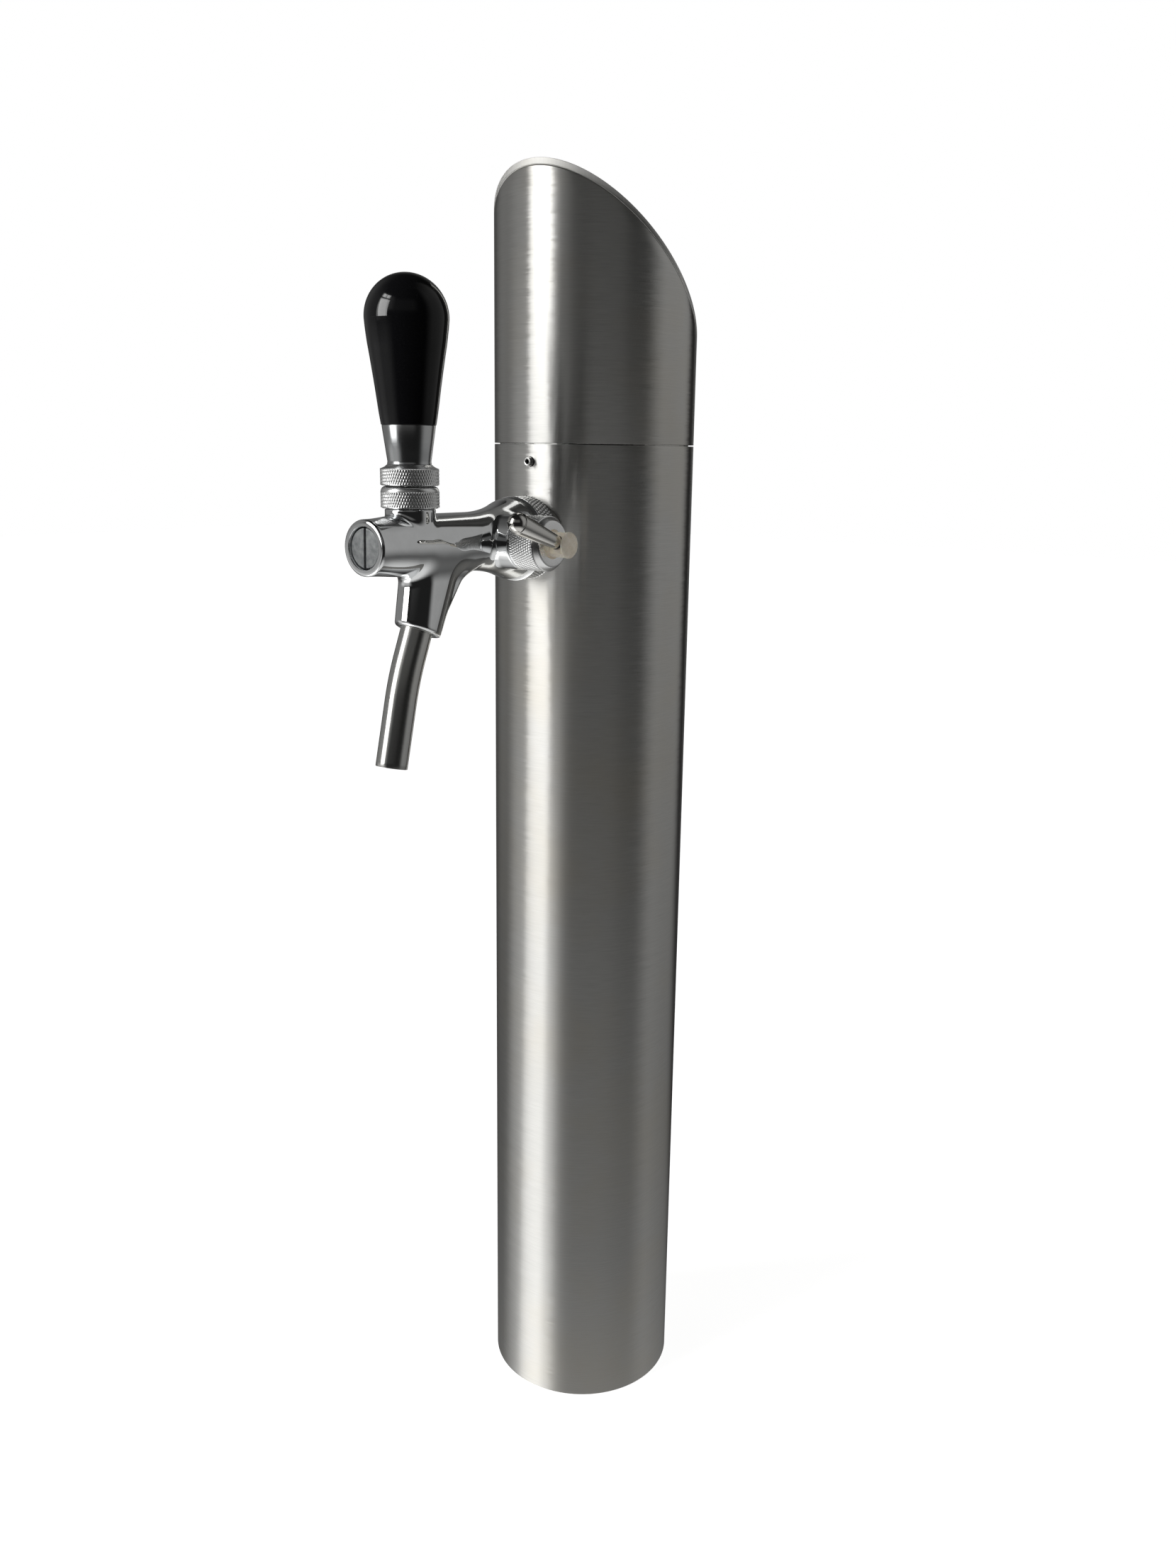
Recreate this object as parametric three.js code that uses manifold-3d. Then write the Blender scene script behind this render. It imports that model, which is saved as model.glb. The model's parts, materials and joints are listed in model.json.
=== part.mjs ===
// A beer tap tower: a round steel column with a slanted hood and one compensator tap.
// Millimetres. The origin is the centre of the foot, on the counter. +Z is up.
// The tap points along -Y, and its compensator spindle points along +X.

import * as THREE from "three";
import { mergeVertices } from "three/addons/utils/BufferGeometryUtils.js";
import Module from "manifold-3d";

const wasm = await Module();
wasm.setup();

// ---------------------------------------------------------------- driving dimensions

const GAP = 0.3; // running and assembly gap between neighbouring pieces

// Column and hood.
const TUBE_R = 44.45;
const TUBE_WALL = 2;
const TUBE_BORE_R = TUBE_R - TUBE_WALL;
const SPLIT_Z = 462.2; // joint line between column and hood
const SPLIT_GAP = 0.5;
const CUT_MID_Z = 531.6; // height of the slanted cut on the column's axis
const CUT_RISE = 42.05; // rise of the cut from the axis to the front
const LID_T = 2;
const SLEEVE_Z = [442, 487];
const BASE_T = 8;
const FIXING_PITCH_R = 30;
const FIXING_HOLE_R = 3.4; // tapping size for M8
const LINE_OPENING_R = 11;
const LINE_Y = 24; // the beer line runs down behind the axis
const SCREW_Z = 455;
const SCREW_R = 1.8;
const SCREW_HOLE_R = 2.1;
const SCREW_PROUD = 2.5;

// Tap: distances along its axis are measured forward from the column's axis.
const TAP_Z = 423.4;
const BARREL_R = 11.75;
const FRONT_S = 141.7;
const TAIL_S = 51.3;
const TAIL_R = 9.4;
const FLARE_BACK_S = 59.2;
const CHAMBER_R = 7.85;
const SEAT_R = 4.6;
const SEAT_S = [88, 96];
const VALVE_BORE_R = 6.4;
const CONE_BORE_R = 7.6;
const CONE_BORE_S = 80;

// Neck and handle.
const NECK_S = 116.7;
const BALL_Z = 439.5;
const BALL_R = 6;
const CUP_R = BALL_R + GAP;
const NECK_R = 9.75;
const NECK_THREAD_R = 8.8;
const NECK_TOP_Z = 441;
const RING_R = 11.25;
const PIN_R = 1.9;
const PIN_TIP_R = 2.7;
const STEM_R = 2.8;
const STUD_R = 3.9;
const GRIP_R = 15.85;
const GRIP_Z = [468.2, 506.75]; // lower end, and centre of the round top
const FERRULE_Z = [454.1, 467.9];

// Spout.
const SPOUT_TILT = THREE.MathUtils.degToRad(22);
const SPOUT_END_TILT = THREE.MathUtils.degToRad(13);
const SPOUT_FACE = { s: 114.6, z: 390 }; // centre of the boss's lower face
const BOSS_R = 9;
const BOSS_FRONT_TILT = THREE.MathUtils.degToRad(9); // the front of the boss stands steeper
const WEB_HALF = 6.2; // half the thickness of the web behind the boss
const PIPE_R = 6.35;
const PIPE_BORE_R = 5.35;
const PIPE_SOCKET = 12.5;

// Compensator: distances along its axis are measured from the tap's axis, towards +X.
const SIDE_S = 70.5;
const SIDE_R = 11.1;
const SIDE_THREAD_R = 8.7;
const SIDE_BORE_R = 6.4;
const LEVER_X = 37.6;
const LEVER_RISE = THREE.MathUtils.degToRad(19);
const LEVER_LENGTH = 32.6;
const LEVER_THIN_R = 2.85;
const LEVER_THICK_R = 4.2;
const LEVER_STUD_R = 1.8;
const LEVER_FLAT = 2.6; // distance of the flat under the lever from the spindle's axis
const ECCENTRIC = 2.5; // throw of the pin that drives the cone
const ECCENTRIC_PIN_R = 1.5;

// Coupling, shank and line.
const SHANK_R = 11.45; // 5/8 inch beer thread
const SHANK_HOLE_R = 11.9;
const SHANK_BORE_R = 3.5;
const COUPLING_R = 17.5;
const HEX_R = 15.6;
const HOSE_TAIL_R = 4.2;
const LINE_R = 6;
const LINE_BORE_R = 4.5;
const LINE_BEND_R = 25;

// Facets round a turned piece.
const FINE = 48;
const MEDIUM = 24;
const COARSE = 16;

// ---------------------------------------------------------------- shape helpers

// A closed three.js geometry as a manifold solid.
function solid(geometry) {
  const bare = geometry.clone();
  bare.deleteAttribute("normal");
  bare.deleteAttribute("uv");
  const merged = mergeVertices(bare, 1e-3);
  return new wasm.Manifold(
    new wasm.Mesh({
      numProp: 3,
      vertProperties: merged.attributes.position.array,
      triVerts: new Uint32Array(merged.index.array),
    }),
  );
}

// The geometry of a manifold solid.
function geometryOf(body) {
  const made = body.getMesh();
  const geometry = new THREE.BufferGeometry();
  geometry.setAttribute("position", new THREE.BufferAttribute(made.vertProperties, 3));
  geometry.setIndex(new THREE.BufferAttribute(made.triVerts, 1));
  geometry.computeVertexNormals();
  return geometry;
}

// A solid of revolution about +Z, from [radius, height] points that run upwards on the outside.
function turned(points, facets = MEDIUM) {
  const profile = points.map(([r, h]) => new THREE.Vector2(r, h));
  return new THREE.LatheGeometry(profile, facets).rotateX(Math.PI / 2);
}

// A ring with a rectangular section: a tube, washer, gasket or O-ring.
function ring(inner, outer, low, high, facets = MEDIUM) {
  const section = [
    [inner, low],
    [outer, low],
    [outer, high],
    [inner, high],
    [inner, low],
  ];
  return turned(section, facets);
}

function rod(radius, low, high, facets = MEDIUM) {
  const section = [
    [0, low],
    [radius, low],
    [radius, high],
    [0, high],
  ];
  return turned(section, facets);
}

// Points on an arc about the centre [r, h], from one angle to another, in degrees.
function arc([r, h], radius, from, to, steps) {
  const points = [];
  for (let i = 0; i <= steps; i += 1) {
    const angle = THREE.MathUtils.degToRad(from + ((to - from) * i) / steps);
    points.push([r + radius * Math.cos(angle), h + radius * Math.sin(angle)]);
  }
  return points;
}

// Turns a geometry made about +Z so that +Z points forward along the tap's axis.
function alongTap(geometry) {
  return geometry.rotateX(Math.PI / 2).translate(0, 0, TAP_Z);
}

// Turns a geometry made about +Z so that +Z points out along the compensator's axis.
function alongSide(geometry) {
  return geometry.rotateY(Math.PI / 2).translate(0, -SIDE_S, TAP_Z);
}

function onNeck(geometry) {
  return geometry.translate(0, -NECK_S, 0);
}

// Turns a geometry made about +Z so that its origin is the boss's lower face and +Z runs up the boss.
function alongBoss(geometry) {
  return geometry.rotateX(-SPOUT_TILT).translate(0, -SPOUT_FACE.s, SPOUT_FACE.z);
}

// Turns a geometry drawn with x backwards, y up and z across so that z lies across the tap.
function acrossTap(geometry) {
  const turn = new THREE.Matrix4().makeBasis(
    new THREE.Vector3(0, 1, 0),
    new THREE.Vector3(0, 0, 1),
    new THREE.Vector3(1, 0, 0),
  );
  return geometry.applyMatrix4(turn);
}

// A slab of wide extent above the slanted cut, moved down along its normal by `drop`.
function aboveCut(drop, thickness) {
  const slope = -Math.atan2(CUT_RISE, TUBE_R);
  const slab = new THREE.BoxGeometry(6 * TUBE_R, 6 * TUBE_R, thickness);
  slab.translate(0, 0, thickness / 2 - drop);
  return slab.rotateX(slope).translate(0, 0, CUT_MID_Z);
}

// ---------------------------------------------------------------- finishes

function finish(color, roughness, metalness) {
  return new THREE.MeshStandardMaterial({ color, roughness, metalness });
}

const BRUSHED = finish(0x9a9a96, 0.38, 1);
const CHROME = finish(0xd6d8da, 0.06, 1);
const KNURL = finish(0xb4b6b8, 0.25, 1);
const STEEL = finish(0x8d8d8a, 0.3, 1);
const ZINC = finish(0x86898b, 0.5, 1);
const BRASS = finish(0xb08d4a, 0.35, 1);
const BLACK_GLOSS = finish(0x08080a, 0.08, 0);
const CREAM = finish(0xcfc8b6, 0.4, 0);
const WHITE_PLASTIC = finish(0xe8e8e4, 0.45, 0);
const RUBBER = finish(0x151515, 0.8, 0);

const tower = new THREE.Group();

function add(name, geometry, material) {
  const mesh = new THREE.Mesh(geometry, material);
  mesh.name = name;
  tower.add(mesh);
}

// ---------------------------------------------------------------- column and hood

function columnTube() {
  const shankHole = alongTap(rod(SHANK_HOLE_R, TUBE_BORE_R - 12, TUBE_R + 5, MEDIUM));
  const screwHole = rod(SCREW_HOLE_R, TUBE_BORE_R - 5, TUBE_R + 5, COARSE);
  screwHole.rotateX(Math.PI / 2).translate(0, 0, SCREW_Z);
  const tube = solid(ring(TUBE_BORE_R, TUBE_R, 0, SPLIT_Z, FINE));
  return geometryOf(tube.subtract(solid(shankHole)).subtract(solid(screwHole)));
}

function basePlate() {
  let plate = solid(rod(TUBE_BORE_R - GAP, 0, BASE_T, FINE));
  const opening = rod(LINE_OPENING_R, -1, BASE_T + 1, COARSE).translate(0, LINE_Y, 0);
  plate = plate.subtract(solid(opening));
  for (let i = 0; i < 4; i += 1) {
    const hole = rod(FIXING_HOLE_R, -1, BASE_T + 1, COARSE);
    hole.translate(FIXING_PITCH_R, 0, 0).rotateZ(Math.PI / 4 + (i * Math.PI) / 2);
    plate = plate.subtract(solid(hole));
  }
  return geometryOf(plate);
}

function hoodTube() {
  const blank = ring(TUBE_BORE_R, TUBE_R, SPLIT_Z + SPLIT_GAP, CUT_MID_Z + 2 * CUT_RISE, FINE);
  return geometryOf(solid(blank).subtract(solid(aboveCut(LID_T + GAP, 200))));
}

function hoodLid() {
  const blank = rod(TUBE_R, SPLIT_Z, CUT_MID_Z + 2 * CUT_RISE, FINE);
  return geometryOf(solid(blank).intersect(solid(aboveCut(LID_T, LID_T))));
}

function hoodSleeve() {
  const outer = TUBE_BORE_R - GAP;
  return ring(outer - TUBE_WALL, outer, SLEEVE_Z[0], SLEEVE_Z[1], FINE);
}

function hoodSetScrew() {
  const tip = TUBE_BORE_R; // the sleeve lies one gap further in
  const head = TUBE_R + SCREW_PROUD;
  const profile = [
    [0, tip],
    [1.3, tip],
    [SCREW_R, tip + 0.5],
    [SCREW_R, head - 0.3],
    [1.5, head],
    [0, head],
  ];
  const body = turned(profile, COARSE);
  const socket = rod(1.15, head - 1.8, head + 1, 6);
  const cut = solid(body).subtract(solid(socket));
  return geometryOf(cut).rotateX(Math.PI / 2).translate(0, 0, SCREW_Z);
}

add("column_tube", columnTube(), BRUSHED);
add("base_plate", basePlate(), STEEL);
add("hood_tube", hoodTube(), BRUSHED);
add("hood_lid", hoodLid(), BRUSHED);
add("hood_sleeve", hoodSleeve(), STEEL);
add("hood_set_screw", hoodSetScrew(), STEEL);

// ---------------------------------------------------------------- tap body

// Outside of barrel, flare and tail.
function barrelBlank() {
  const groove = 8.6;
  return alongTap(
    turned([
      [0, TAIL_S],
      [TAIL_R, TAIL_S],
      [TAIL_R, 52.4],
      [groove, 52.4],
      [groove, 54.2],
      [TAIL_R, 54.2],
      [TAIL_R, FLARE_BACK_S],
      [16.6, FLARE_BACK_S],
      [17.1, 60],
      [16.7, 61.2],
      [15.9, 63],
      [14.7, 66],
      [13.5, 70],
      [12.6, 75],
      [12, 80],
      [BARREL_R, 87],
      [BARREL_R, 128],
      [11.3, 133],
      [10.6, 138],
      [10.2, FRONT_S - 0.4],
      [9.85, FRONT_S],
      [0, FRONT_S],
    ]),
  );
}

function neckBlank() {
  const neck = turned([
    [0, TAP_Z],
    [NECK_R, TAP_Z],
    [NECK_R, 437.2],
    [NECK_THREAD_R, 437.2],
    [NECK_THREAD_R, NECK_TOP_Z],
    [0, NECK_TOP_Z],
  ]);
  return onNeck(neck);
}

function sideBlank() {
  const boss = turned([
    [0, 0],
    [SIDE_R, 0],
    [SIDE_R, 18.5],
    [SIDE_R - 0.4, 18.9],
    [SIDE_THREAD_R, 18.9],
    [SIDE_THREAD_R, 28.2],
    [0, 28.2],
  ]);
  return alongSide(boss);
}

// The hull of the boss along the pipe and of the same boss standing steeper.
function bossBlank() {
  const profile = [
    [0, 0],
    [BOSS_R - 0.75, 0],
    [BOSS_R, 0.75],
    [BOSS_R, 32],
    [0, 32],
  ];
  const lean = -Math.tan(SPOUT_TILT - BOSS_FRONT_TILT);
  const steeper = turned(profile).applyMatrix4(new THREE.Matrix4().makeShear(0, 0, 0, 0, 0, lean));
  return alongBoss(geometryOf(solid(turned(profile)).add(solid(steeper)).hull()));
}

// The web between the barrel's underside and the spout boss, seen from the side.
function webBlank() {
  const outline = new THREE.Shape();
  outline.moveTo(-88.4, 418);
  outline.lineTo(-90, 411.6);
  outline.lineTo(-91.5, 410.8);
  outline.lineTo(-93.6, 408.8);
  outline.lineTo(-97.7, 402.9);
  outline.lineTo(-102.2, 397.1);
  outline.lineTo(-104.3, 393.9);
  outline.lineTo(-106.8, 388.6);
  outline.lineTo(-112, 390);
  outline.lineTo(-106, 418);
  const bevel = 1.2;
  const straight = 2 * (WEB_HALF - bevel);
  const web = new THREE.ExtrudeGeometry(outline, {
    depth: straight,
    steps: 1,
    bevelThickness: bevel,
    bevelSize: bevel,
    bevelOffset: -bevel,
    bevelSegments: 2,
  });
  return acrossTap(web.translate(0, 0, -straight / 2));
}

// Bore from tail to front: conical compensator bore, valve bore, seat and front chamber.
function barrelBore() {
  return alongTap(
    turned([
      [0, TAIL_S - 1],
      [CONE_BORE_R, TAIL_S - 1],
      [CONE_BORE_R, TAIL_S],
      [VALVE_BORE_R, CONE_BORE_S],
      [VALVE_BORE_R, SEAT_S[0]],
      [SEAT_R, SEAT_S[0]],
      [SEAT_R, SEAT_S[1]],
      [CHAMBER_R, SEAT_S[1]],
      [CHAMBER_R, FRONT_S + 1],
      [0, FRONT_S + 1],
    ]),
  );
}

function neckBore() {
  const ledge = 434.4;
  const bore = turned([
    [0, TAP_Z],
    [6.9, TAP_Z],
    [6.9, ledge],
    [7.8, ledge],
    [7.8, NECK_TOP_Z + 1],
    [0, NECK_TOP_Z + 1],
  ]);
  return onNeck(bore);
}

function spoutBore() {
  const socket = PIPE_R + GAP;
  return alongBoss(
    turned(
      [
        [0, -1],
        [socket, -1],
        [socket, PIPE_SOCKET],
        [4.4, PIPE_SOCKET],
        [4.4, 29],
        [0, 29],
      ],
      COARSE,
    ),
  );
}

function tapBody() {
  let body = solid(barrelBlank());
  for (const blank of [neckBlank(), sideBlank(), bossBlank(), webBlank()]) {
    body = body.add(solid(blank));
  }
  const sideBore = alongSide(rod(SIDE_BORE_R, 3, 29));
  for (const bore of [barrelBore(), neckBore(), spoutBore(), sideBore]) {
    body = body.subtract(solid(bore));
  }
  return geometryOf(body);
}

function frontPlug() {
  const face = FRONT_S - 0.8;
  const bore = 3.3;
  const plug = alongTap(
    turned([
      [bore, 127],
      [5, 127],
      [5, 131],
      [7.5, 131],
      [7.5, 132.2],
      [6.2, 132.2],
      [6.2, 134.2],
      [7.5, 134.2],
      [7.5, 138.8],
      [7.05, 139.2],
      [7.05, face],
      [0, face],
      [0, 139.2],
      [bore, 139.2],
      [bore, 127],
    ]),
  );
  const slot = new THREE.BoxGeometry(1.2, 2.4, 20).translate(0, -face, TAP_Z);
  return geometryOf(solid(plug).subtract(solid(slot)));
}

add("tap_body", tapBody(), CHROME);
add("front_plug", frontPlug(), ZINC);
add("front_plug_seal", alongTap(ring(6.5, 7.55, 132.5, 133.9, COARSE)), RUBBER);

// ---------------------------------------------------------------- neck and handle

function neckGlandNut() {
  const top = 445.5;
  const lip = 5.2;
  const lipAngle = THREE.MathUtils.radToDeg(Math.acos(lip / CUP_R));
  const ledge = NECK_TOP_Z + GAP;
  const ledgeAngle = THREE.MathUtils.radToDeg(Math.asin((ledge - BALL_Z) / CUP_R));
  return onNeck(
    turned([
      [NECK_THREAD_R + GAP, 437.5],
      [RING_R - 0.4, 437.5],
      [RING_R, 437.9],
      [RING_R, 443.5],
      ...arc([9.25, 443.5], 2, 0, 85, 3),
      [6.4, top],
      ...arc([0, BALL_Z], CUP_R, lipAngle, ledgeAngle, 3),
      [NECK_THREAD_R + GAP, ledge],
      [NECK_THREAD_R + GAP, 437.5],
    ]),
  );
}

function ballSeatSeal() {
  const low = 434.7;
  const lip = 4.9;
  const lipAngle = -THREE.MathUtils.radToDeg(Math.acos(lip / CUP_R));
  return onNeck(
    turned([
      [5.5, low],
      [7.5, low],
      [7.5, BALL_Z - 0.4],
      ...arc([0, BALL_Z], CUP_R, -4, lipAngle, 4),
      [5.5, low],
    ]),
  );
}

// Ball, lower pin with its round tip, and the stud that the handle screws onto.
function leverSpindle() {
  const pinMeets = -THREE.MathUtils.radToDeg(Math.acos(PIN_R / BALL_R));
  const stemMeets = THREE.MathUtils.radToDeg(Math.acos(STEM_R / BALL_R));
  const tipMeets = THREE.MathUtils.radToDeg(Math.acos(PIN_R / PIN_TIP_R));
  return onNeck(
    turned(
      [
        ...arc([0, TAP_Z], PIN_TIP_R, -90, tipMeets, 4),
        ...arc([0, BALL_Z], BALL_R, pinMeets, stemMeets, 8),
        [STEM_R, 449.9],
        [STUD_R, 449.9],
        [STUD_R, 479.5],
        [STUD_R - 0.5, 480],
        [0, 480],
      ],
      COARSE,
    ),
  );
}

// The ring is hollow below, so that it swings over the gland nut about the ball.
function handleLockRing() {
  const recess = 12.4;
  const ceiling = 449.6;
  const rimAngle = THREE.MathUtils.radToDeg(Math.asin((446 - BALL_Z) / recess));
  const ceilingAngle = THREE.MathUtils.radToDeg(Math.asin((ceiling - BALL_Z) / recess));
  const hole = STUD_R + GAP;
  const rim = recess * Math.cos(THREE.MathUtils.degToRad(rimAngle));
  return onNeck(
    turned([
      [rim, 446],
      [RING_R - 0.3, 446],
      [RING_R, 446.4],
      [RING_R, 452.4],
      [RING_R - 1.6, 453.8],
      [hole, 453.8],
      [hole, ceiling],
      ...arc([0, BALL_Z], recess, ceilingAngle, rimAngle, 4),
    ]),
  );
}

function handleFerrule() {
  const [low, high] = FERRULE_Z;
  const hole = STUD_R + GAP;
  return onNeck(
    turned([
      [hole, low],
      [8.2, low],
      [10.28, high],
      [hole, high],
      [hole, low],
    ]),
  );
}

function handleGrip() {
  const [low, wide] = GRIP_Z;
  const hole = STUD_R + GAP;
  return onNeck(
    turned([
      [hole, low],
      [10.35, low],
      [11.2, low + 4.8],
      [12.57, low + 14.7],
      [14.08, low + 24.6],
      [15.5, low + 34.5],
      ...arc([0, wide], GRIP_R, -3.4, 90, 7),
      [0, 481],
      [hole, 481],
      [hole, low],
    ]),
  );
}

add("neck_gland_nut", neckGlandNut(), KNURL);
add("ball_seat_seal", ballSeatSeal(), WHITE_PLASTIC);
add("lever_spindle", leverSpindle(), STEEL);
add("handle_lock_ring", handleLockRing(), KNURL);
add("handle_ferrule", handleFerrule(), CHROME);
add("handle_grip", handleGrip(), BLACK_GLOSS);

// ---------------------------------------------------------------- valve

// The pin's round tip sits in the slot of the thick block; the piston at the back carries the seal.
function valveStem() {
  const rodR = 2.4;
  const stem = alongTap(
    turned(
      [
        [0, 89.2],
        [4.1, 89.2],
        [4.1, 90.2],
        [rodR, 90.2],
        [rodR, 93.8],
        [4.1, 93.8],
        [4.1, 94.8],
        [rodR, 95.4],
        [rodR, NECK_S - 5.6],
        [4.5, NECK_S - 5.6],
        [4.5, NECK_S + 5.6],
        [3, NECK_S + 5.6],
        [3, 134.5],
        [2.5, 135],
        [0, 135],
      ],
      COARSE,
    ),
  );
  const half = PIN_TIP_R + GAP;
  const hopper = new THREE.Shape();
  hopper.moveTo(-half, -6);
  hopper.lineTo(half, -6);
  hopper.lineTo(half, 0.6);
  hopper.lineTo(half + 1.5, 6);
  hopper.lineTo(-half - 1.5, 6);
  hopper.lineTo(-half, 0.6);
  const options = { depth: 2 * half, steps: 1, bevelEnabled: false };
  const slot = new THREE.ExtrudeGeometry(hopper, options);
  slot.translate(0, 0, -half);
  acrossTap(slot).translate(0, -NECK_S, TAP_Z);
  return geometryOf(solid(stem).subtract(solid(slot)));
}

add("valve_stem", valveStem(), STEEL);
add("valve_seal", alongTap(ring(2.7, SEAT_R - GAP, 90.5, 93.5, COARSE)), RUBBER);

// ---------------------------------------------------------------- spout

// The pipe's centreline: straight in the boss, one bend, then straight again.
function spoutPath() {
  const forward = (tilt) => new THREE.Vector3(0, -Math.sin(tilt), -Math.cos(tilt));
  const face = new THREE.Vector3(0, -SPOUT_FACE.s, SPOUT_FACE.z);
  const top = face.clone().addScaledVector(forward(SPOUT_TILT), -10.5);
  const bendStart = face.clone().addScaledVector(forward(SPOUT_TILT), 11);
  const corner = bendStart.clone().addScaledVector(forward(SPOUT_TILT), 9);
  const bendEnd = corner.clone().addScaledVector(forward(SPOUT_END_TILT), 9);
  const end = bendEnd.clone().addScaledVector(forward(SPOUT_END_TILT), 26);
  const path = new THREE.CurvePath();
  path.add(new THREE.LineCurve3(top, bendStart));
  path.add(new THREE.QuadraticBezierCurve3(bendStart, corner, bendEnd));
  path.add(new THREE.LineCurve3(bendEnd, end));
  return path;
}

// A pipe swept along a path.
function pipe(path, outer, bore, steps, facets) {
  const section = new THREE.Shape();
  section.absarc(0, 0, outer, 0, 2 * Math.PI, false);
  const hole = new THREE.Path();
  hole.absarc(0, 0, bore, 0, 2 * Math.PI, true);
  section.holes.push(hole);
  const options = { steps, curveSegments: facets / 2, extrudePath: path, bevelEnabled: false };
  return new THREE.ExtrudeGeometry(section, options);
}

add("spout_pipe", pipe(spoutPath(), PIPE_R, PIPE_BORE_R, 12, COARSE), STEEL);
add("spout_seal", alongBoss(ring(4.7, PIPE_R, 10.9, 12.2, COARSE)), RUBBER);

// ---------------------------------------------------------------- compensator

function compensatorGlandNut() {
  const low = 19.2;
  const wall = 30.5;
  const face = 33.5;
  return alongSide(
    turned([
      [SIDE_THREAD_R + GAP, low],
      [SIDE_R - 0.5, low],
      [SIDE_R - 0.1, low + 0.4],
      [SIDE_R - 0.1, 31.2],
      [8.6, face],
      [5.75, face],
      [5.75, wall],
      [SIDE_THREAD_R + GAP, wall],
      [SIDE_THREAD_R + GAP, low],
    ]),
  );
}

function compensatorSpindle() {
  const shaft = 5.6;
  const neck = 5;
  const head = 5.2;
  const turnedPart = turned(
    [
      [0, 7],
      [shaft, 7],
      [shaft, 16.5],
      [4.3, 16.5],
      [4.3, 19.5],
      [shaft, 19.5],
      [shaft, 28.6],
      [8.2, 28.6],
      [8.2, 30.2],
      [neck, 30.2],
      [neck, 40.9],
      [head, 41.1],
      [head, 41.5],
      [4.5, 42.4],
      [3, 42.8],
      [0, 43],
    ],
    COARSE,
  );
  const pin = rod(ECCENTRIC_PIN_R, 1.4, 7.5, 12);
  pin.rotateZ(Math.PI / 12).translate(-ECCENTRIC, 0, 0);
  pin.rotateZ(-LEVER_RISE);
  const studHole = rod(LEVER_STUD_R + GAP, -20, 20, COARSE).rotateX(Math.PI / 2);
  studHole.rotateZ(-LEVER_RISE).translate(0, 0, LEVER_X);
  const flat = new THREE.BoxGeometry(12, 12, 6.9).translate(0, -LEVER_FLAT - 6, 37.25);
  flat.rotateZ(-LEVER_RISE);
  let body = solid(turnedPart).add(solid(pin));
  for (const cut of [studHole, flat]) body = body.subtract(solid(cut));
  return alongSide(geometryOf(body));
}

// Turns a geometry made about +Z so that its origin is on the spindle and +Z runs along the lever.
function alongLever(geometry) {
  geometry.rotateX(Math.PI / 2 - LEVER_RISE);
  return geometry.translate(LEVER_X, -SIDE_S, TAP_Z);
}

function compensatorLever() {
  const ball = LEVER_LENGTH - LEVER_THICK_R;
  return alongLever(
    turned(
      [
        [0, -4.6],
        [LEVER_STUD_R, -4.6],
        [LEVER_STUD_R, 4.1],
        [LEVER_THIN_R, 4.1],
        ...arc([0, ball], LEVER_THICK_R, 0, 90, 4),
      ],
      COARSE,
    ),
  );
}

// The groove in the tail takes the eccentric pin of the spindle.
function compensatorCone() {
  const cone = alongTap(
    turned(
      [
        [0, 52.5],
        [4.4, 52.6],
        [5.9, 53.2],
        [6.4, 54.4],
        [5.8, 64],
        [5.7, 75.6],
        [5.3, 76],
        [0, 76],
      ],
      COARSE,
    ),
  );
  const pinBack = ECCENTRIC * Math.sin(LEVER_RISE);
  const groove = new THREE.BoxGeometry(8, 4, 16).translate(0.9 + 4, -SIDE_S + pinBack, TAP_Z);
  return geometryOf(solid(cone).subtract(solid(groove)));
}

add("compensator_gland_nut", compensatorGlandNut(), KNURL);
add("compensator_spindle", compensatorSpindle(), CREAM);
add("spindle_seal", alongSide(ring(4.6, 6.1, 16.8, 19.2, COARSE)), RUBBER);
add("compensator_lever", compensatorLever(), STEEL);
add("lever_ring", alongLever(ring(LEVER_STUD_R + GAP, 2.75, 2.9, 3.8, COARSE)), RUBBER);
add("compensator_cone", compensatorCone(), WHITE_PLASTIC);

// ---------------------------------------------------------------- coupling, shank and line

function couplingNut() {
  return alongTap(
    turned([
      [SHANK_R + GAP, 46.6],
      [COUPLING_R - 0.5, 46.6],
      [COUPLING_R, 47.1],
      [COUPLING_R, 57],
      [COUPLING_R - 0.7, 58.6],
      [TAIL_R + GAP, 58.8],
      [TAIL_R + GAP, 55],
      [SHANK_R + GAP, 55],
      [SHANK_R + GAP, 46.6],
    ]),
  );
}

function shank() {
  return alongTap(ring(SHANK_BORE_R, SHANK_R, 24, 49.2));
}

// A washer that is flat on one side and fits the round tube on the other.
function saddleWasher(inner, outer, low, high, insideTube) {
  const washer = solid(alongTap(ring(inner, outer, low, high)));
  const radius = insideTube ? TUBE_BORE_R - GAP : TUBE_R + GAP;
  const tube = solid(rod(radius, TAP_Z - 2 * outer, TAP_Z + 2 * outer, FINE));
  return geometryOf(insideTube ? washer.intersect(tube) : washer.subtract(tube));
}

// A hexagon nut on the shank's thread. The hose nut keeps a wall at its rear.
function hexNut(low, high, wall = 0) {
  const hex = solid(alongTap(rod(HEX_R, low, high, 6)));
  const threadStart = wall > 0 ? low + wall : low - 1;
  const thread = alongTap(rod(SHANK_R + GAP, threadStart, high + 1));
  const through = alongTap(rod(HOSE_TAIL_R + GAP, low - 1, high + 1, COARSE));
  return geometryOf(hex.subtract(solid(thread)).subtract(solid(through)));
}

function hoseTail() {
  return alongTap(
    turned(
      [
        [2.5, 2],
        [3.7, 2],
        [HOSE_TAIL_R, 5],
        [HOSE_TAIL_R - 0.4, 5],
        [HOSE_TAIL_R, 10],
        [HOSE_TAIL_R - 0.4, 10],
        [HOSE_TAIL_R, 15],
        [HOSE_TAIL_R, 19.6],
        [9.5, 19.6],
        [9.5, 22.2],
        [2.5, 22.2],
        [2.5, 2],
      ],
      COARSE,
    ),
  );
}

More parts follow.
